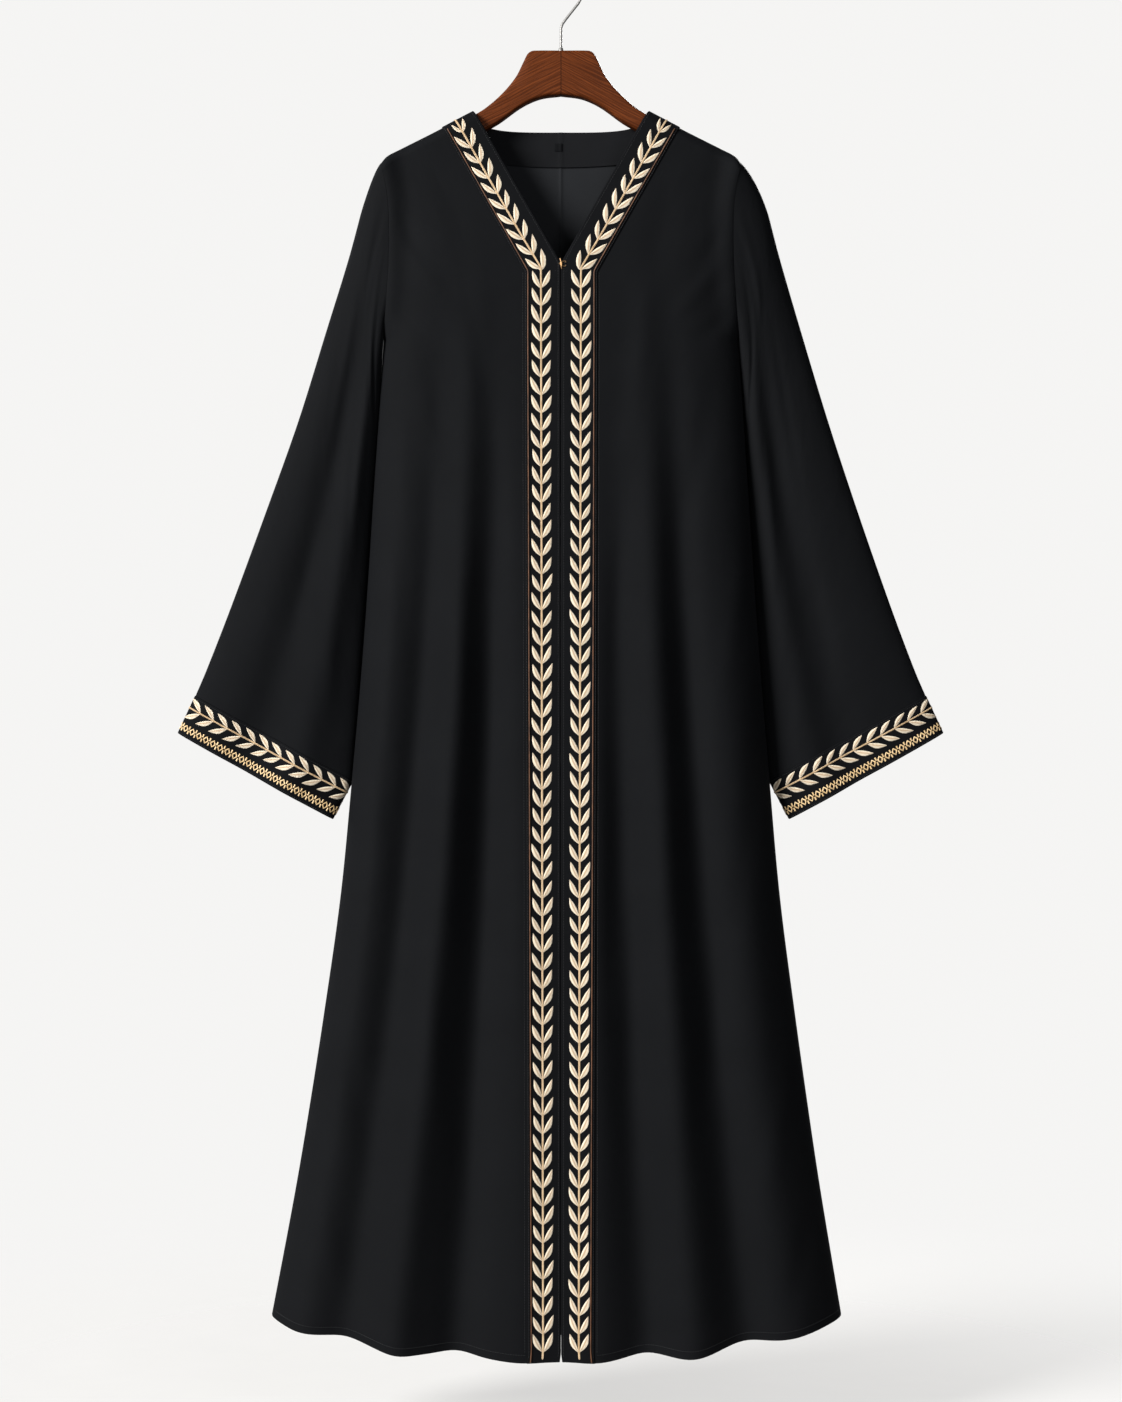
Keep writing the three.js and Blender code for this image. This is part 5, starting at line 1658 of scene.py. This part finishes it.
# %% One arm of the hanger
ARM_THICK, ARM_ROUND = 18.0, 4.2
GRAIN_SLOPE, GRAIN_STRETCH, OTHER_BOARD = 0.5, 1.12, 137.0
ARM_TOP = table(
    "x z", (0, -91), (28, -91), (34, -91.8), (38.5, -95.5), (42, -102.5), (51, -120.5), (66, -139),
    (85, -155.8), (100, -165), (146, -189), (181, -207.5), (186, -210),
)
ARM_FOOT = table(
    "x z", (0, -141.5), (24, -145), (45, -154.5), (71, -173), (91, -184), (146, -211), (186, -230),
)
ARM_END_X, ARM_END_Z, ARM_END_RADIUS = 186.0, -220.0, 10.0
arm_top, arm_foot = line_through(ARM_TOP, "x", "z"), line_through(ARM_FOOT, "x", "z")


def arm_section(x):
    """Top and foot of an arm at a distance from the middle"""
    past = np.clip((x - ARM_END_X) / ARM_END_RADIUS, 0, 1)
    reach = ARM_END_RADIUS * np.sqrt(1 - past**2)
    top = np.where(x > ARM_END_X, ARM_END_Z + reach, arm_top(x))
    foot = np.where(x > ARM_END_X, ARM_END_Z - reach, arm_foot(x))
    return top, foot


def hanger_arm(side):
    near = np.array([0.0, 0.6, 1.5, 3, *np.arange(6, 28, 3), *np.arange(28, 60, 1.5), *np.arange(60, 186, 3)])
    far = ARM_END_X + ARM_END_RADIUS * np.sin(np.linspace(0, np.pi / 2, 12)[:-1])
    xs = np.array([*near, *far, ARM_END_X + ARM_END_RADIUS - 0.02])
    top, foot = arm_section(xs)
    tall = np.maximum(top - foot, 0.4)
    curve = np.linspace(0, np.pi / 2, 6)
    corners = ((1, 1), (1, -1), (-1, -1), (-1, 1))
    points, grains = [], []
    for x, high, low, height in zip(xs, top, foot, tall):
        past = max(0.0, (x - ARM_END_X) / ARM_END_RADIUS)
        deep = ARM_THICK / 2 * (1 - 0.35 * past**3)
        bend = min(ARM_ROUND, height / 2 - 0.05)
        middle = (high + low) / 2
        for k, (y_sign, z_sign) in enumerate(corners):
            sweep = curve if k % 2 == 0 else curve[::-1]
            for a in sweep:
                y = y_sign * (deep - bend * (1 - math.sin(a)))
                z = middle + z_sign * (height / 2 - bend * (1 - math.cos(a)))
                points.append((side * x, y, z))
                grains.append((x * GRAIN_STRETCH, z + GRAIN_SLOPE * x, y))
    name = "wood_arm_right" if side < 0 else "wood_arm_left"
    mesh = mesh_of(name, points, tube_faces(len(xs), len(corners) * len(curve)))
    attribute = mesh.attributes.new("grain", "FLOAT_VECTOR", "POINT")
    attribute.data.foreach_set("vector", np.array(grains).reshape(-1) + (0 if side < 0 else OTHER_BOARD))
    print(f"{name}: {len(mesh.polygons)} faces")
    return add_piece(name, finished(turned_out(mesh), WOOD, 50))


arm_pieces = {side: hanger_arm(side) for side in (-1, 1)}

# %% The wire hook and its collar
WIRE_RADIUS, HOOK_RADIUS = 1.45, 24.0


def hook_wire():
    centre_z = WIRE_RADIUS - HOOK_RADIUS
    angles = np.radians(np.linspace(-43, 192, 96))
    arc = np.stack([HOOK_RADIUS * np.cos(angles), 0 * angles, centre_z + HOOK_RADIUS * np.sin(angles)], 1)
    low = curved([(0, 0, -103), (0, 0, -83), (0, 0, -68), (0.25, 0, -63), (1.6, 0, -59.5), tuple(arc[0])], 48)
    path = smoothed(np.concatenate([low, arc[1:]]), 3.0, 1.0)
    return wire("nickel_hook", path, WIRE_RADIUS, NICKEL, 18)


def collar():
    profile = ((1.95, 0), (3.0, 0.1), (3.05, 0.9), (2.6, 1.7), (2.55, 3.2), (2.35, 3.5), (1.95, 3.5))
    sides, low = 32, -90.7
    angles = np.arange(sides) * TURN / sides
    points = [(r * math.cos(a), r * math.sin(a), low + z) for r, z in profile for a in angles]
    r, c = corner_grid(len(profile), sides, True)
    faces = (r * sides + c % sides).tolist()
    last = (len(profile) - 1) * sides
    faces += [[last + k, last + (k + 1) % sides, (k + 1) % sides, k] for k in range(sides)]
    mesh = mesh_of("hook_collar", points, faces)
    return add_piece("hook_collar", finished(turned_out(mesh), NICKEL, 40))


hanger_hook_piece, collar_piece = hook_wire(), collar()

# %% [markdown]
# ## What each piece stands for
# Every piece rides on the robe's one body. A sheet of cloth takes the place of its solid wall.

# %% Pieces, bodies and cuts
FRONT_AREA, BACK_AREA, BAND_AREA = 0.373, 0.372, 0.058


def dress(piece, node):
    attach(piece, "root")
    if node:
        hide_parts(node)


for panel in PANELS.values():
    piece, area = panel_pieces[panel.name], FRONT_AREA if panel.banded else BACK_AREA
    dress(piece, panel.name)
for panel in FRONTS:
    dress(band_pieces[panel.name], f"front_band_{panel.hand}")
    dress(cord_pieces[panel.name], f"band_cord_{panel.hand}")
    dress(vine_pieces[panel.name], None)
    dress(stem_pieces[panel.name], None)
for arm in ARMS:
    dress(sleeve_pieces[arm.name], f"sleeve_{arm.name}")
    dress(cuff_pieces[arm.name], f"cuff_{arm.name}")
    for piece, slot in zip(cuff_work[arm.name], ("leaf_thread", "stem_thread", "ornament_thread")):
        dress(piece, None)
dress(facing_piece, "back_neck_facing")
dress(tab_piece, "neck_tab")
dress(topstitching, None)
dress(closure_sewing, None)
dress(eye_piece, "closure_eye")
dress(hook_piece, "closure_hook")
dress(arm_pieces[-1], "hanger_arm_right")
dress(arm_pieces[1], "hanger_arm_left")
dress(hanger_hook_piece, "hanger_hook")
dress(collar_piece, "hanger_ferrule")

# %% [markdown]
# ## Camera, light and floor
# The camera looks straight at the middle of the robe from a little over three metres. A large soft light high
# on the left models the folds and a weaker one fills the right. Two more light the back for a view from
# behind. The pale surroundings give the cloth its soft edges, and the floor is a pale disc under the hem.

# %% Camera
CAMERA_DISTANCE, FRAME_TALL, FRAME_MIDDLE = 3.2, 1.598, -0.8312
SENSOR = 36.0
camera_data = bpy.data.cameras.new("camera")
camera_data.sensor_width = SENSOR
camera_data.lens = SENSOR * CAMERA_DISTANCE / FRAME_TALL
camera_data.clip_end = 60.0
camera = add_piece("camera", camera_data)
camera.location = (0.0, -CAMERA_DISTANCE, FRAME_MIDDLE)
camera.rotation_euler = (math.radians(90), 0, 0)
scene.camera = camera
print(f"camera: {camera_data.lens:.1f} mm lens at {CAMERA_DISTANCE} m")

# %% Lights and surroundings


def area_light(name, place, aim, size, watts, colour):
    data = bpy.data.lights.new(name, "AREA")
    data.shape, data.size, data.energy, data.color = "DISK", size, watts, colour
    light = add_piece(name, data)
    light.location = place
    light.rotation_mode = "QUATERNION"
    light.rotation_quaternion = (Vector(aim) - Vector(place)).to_track_quat("-Z", "Y")
    light.visible_camera = False


area_light("key", (-5.3, -4.15, 2.1), (0.0, 0.0, -0.8), 2.8, 1200.0, (1.0, 0.99, 0.97))
area_light("fill", (1.5, -3.7, 0.2), (0.0, 0.0, -0.7), 2.0, 46.0, (0.97, 0.98, 1.0))
area_light("back_key", (1.6, 6.5, 2.1), (0.0, 0.0, -0.8), 2.4, 800.0, (1.0, 0.99, 0.98))
area_light("back_fill", (-2.6, 2.4, 0.2), (0.0, 0.0, -0.85), 2.0, 26.0, (1.0, 1.0, 1.0))

# %% Pale surroundings, which light the robe only a little
SOFT_AMBIENT = 0.13


def pale_world():
    made = bpy.data.worlds.new("pale_studio")
    made.use_nodes = True
    sky = NodeTree(made.node_tree)
    seen = sky.add("ShaderNodeLightPath")["Is Camera Ray"]
    background = made.node_tree.nodes["Background"]
    background.inputs["Color"].default_value = (0.915, 0.91, 0.9, 1)
    strength = SOFT_AMBIENT + seen * (1.0 - SOFT_AMBIENT)
    made.node_tree.links.new(strength.socket, background.inputs["Strength"])
    return made


scene.world = pale_world()
scene.view_settings.view_transform = "Standard"

# %% Floor


def floor_disc(radius, z):
    finish = Finish("pale_floor")
    place = finish.own_place()
    grain = finish.noise(place, 14.0, 3.0)
    away = finish.add("ShaderNodeVectorMath", {"operation": "LENGTH"}, {0: place})["Value"]
    finish.set(
        base_color=finish.blend(grain, (0.43, 0.427, 0.42), (0.455, 0.45, 0.443)),
        roughness=0.75,
        specular_ior_level=0.15,
        alpha=(1.0 - away.between(0.25 * radius, radius)) * 0.6,
    )
    mesh = bpy.data.meshes.new("floor")
    ring = [(radius * math.cos(a), radius * math.sin(a), 0) for a in np.linspace(0, TURN, 97)[:-1]]
    mesh.from_pydata(ring, [], [list(range(len(ring)))])
    mesh.materials.append(finish.material)
    floor = add_piece("floor", mesh)
    floor.location.z = z


FLOOR_RADIUS, FLOOR_Z = 1.5, -1.66
floor_disc(FLOOR_RADIUS, FLOOR_Z)
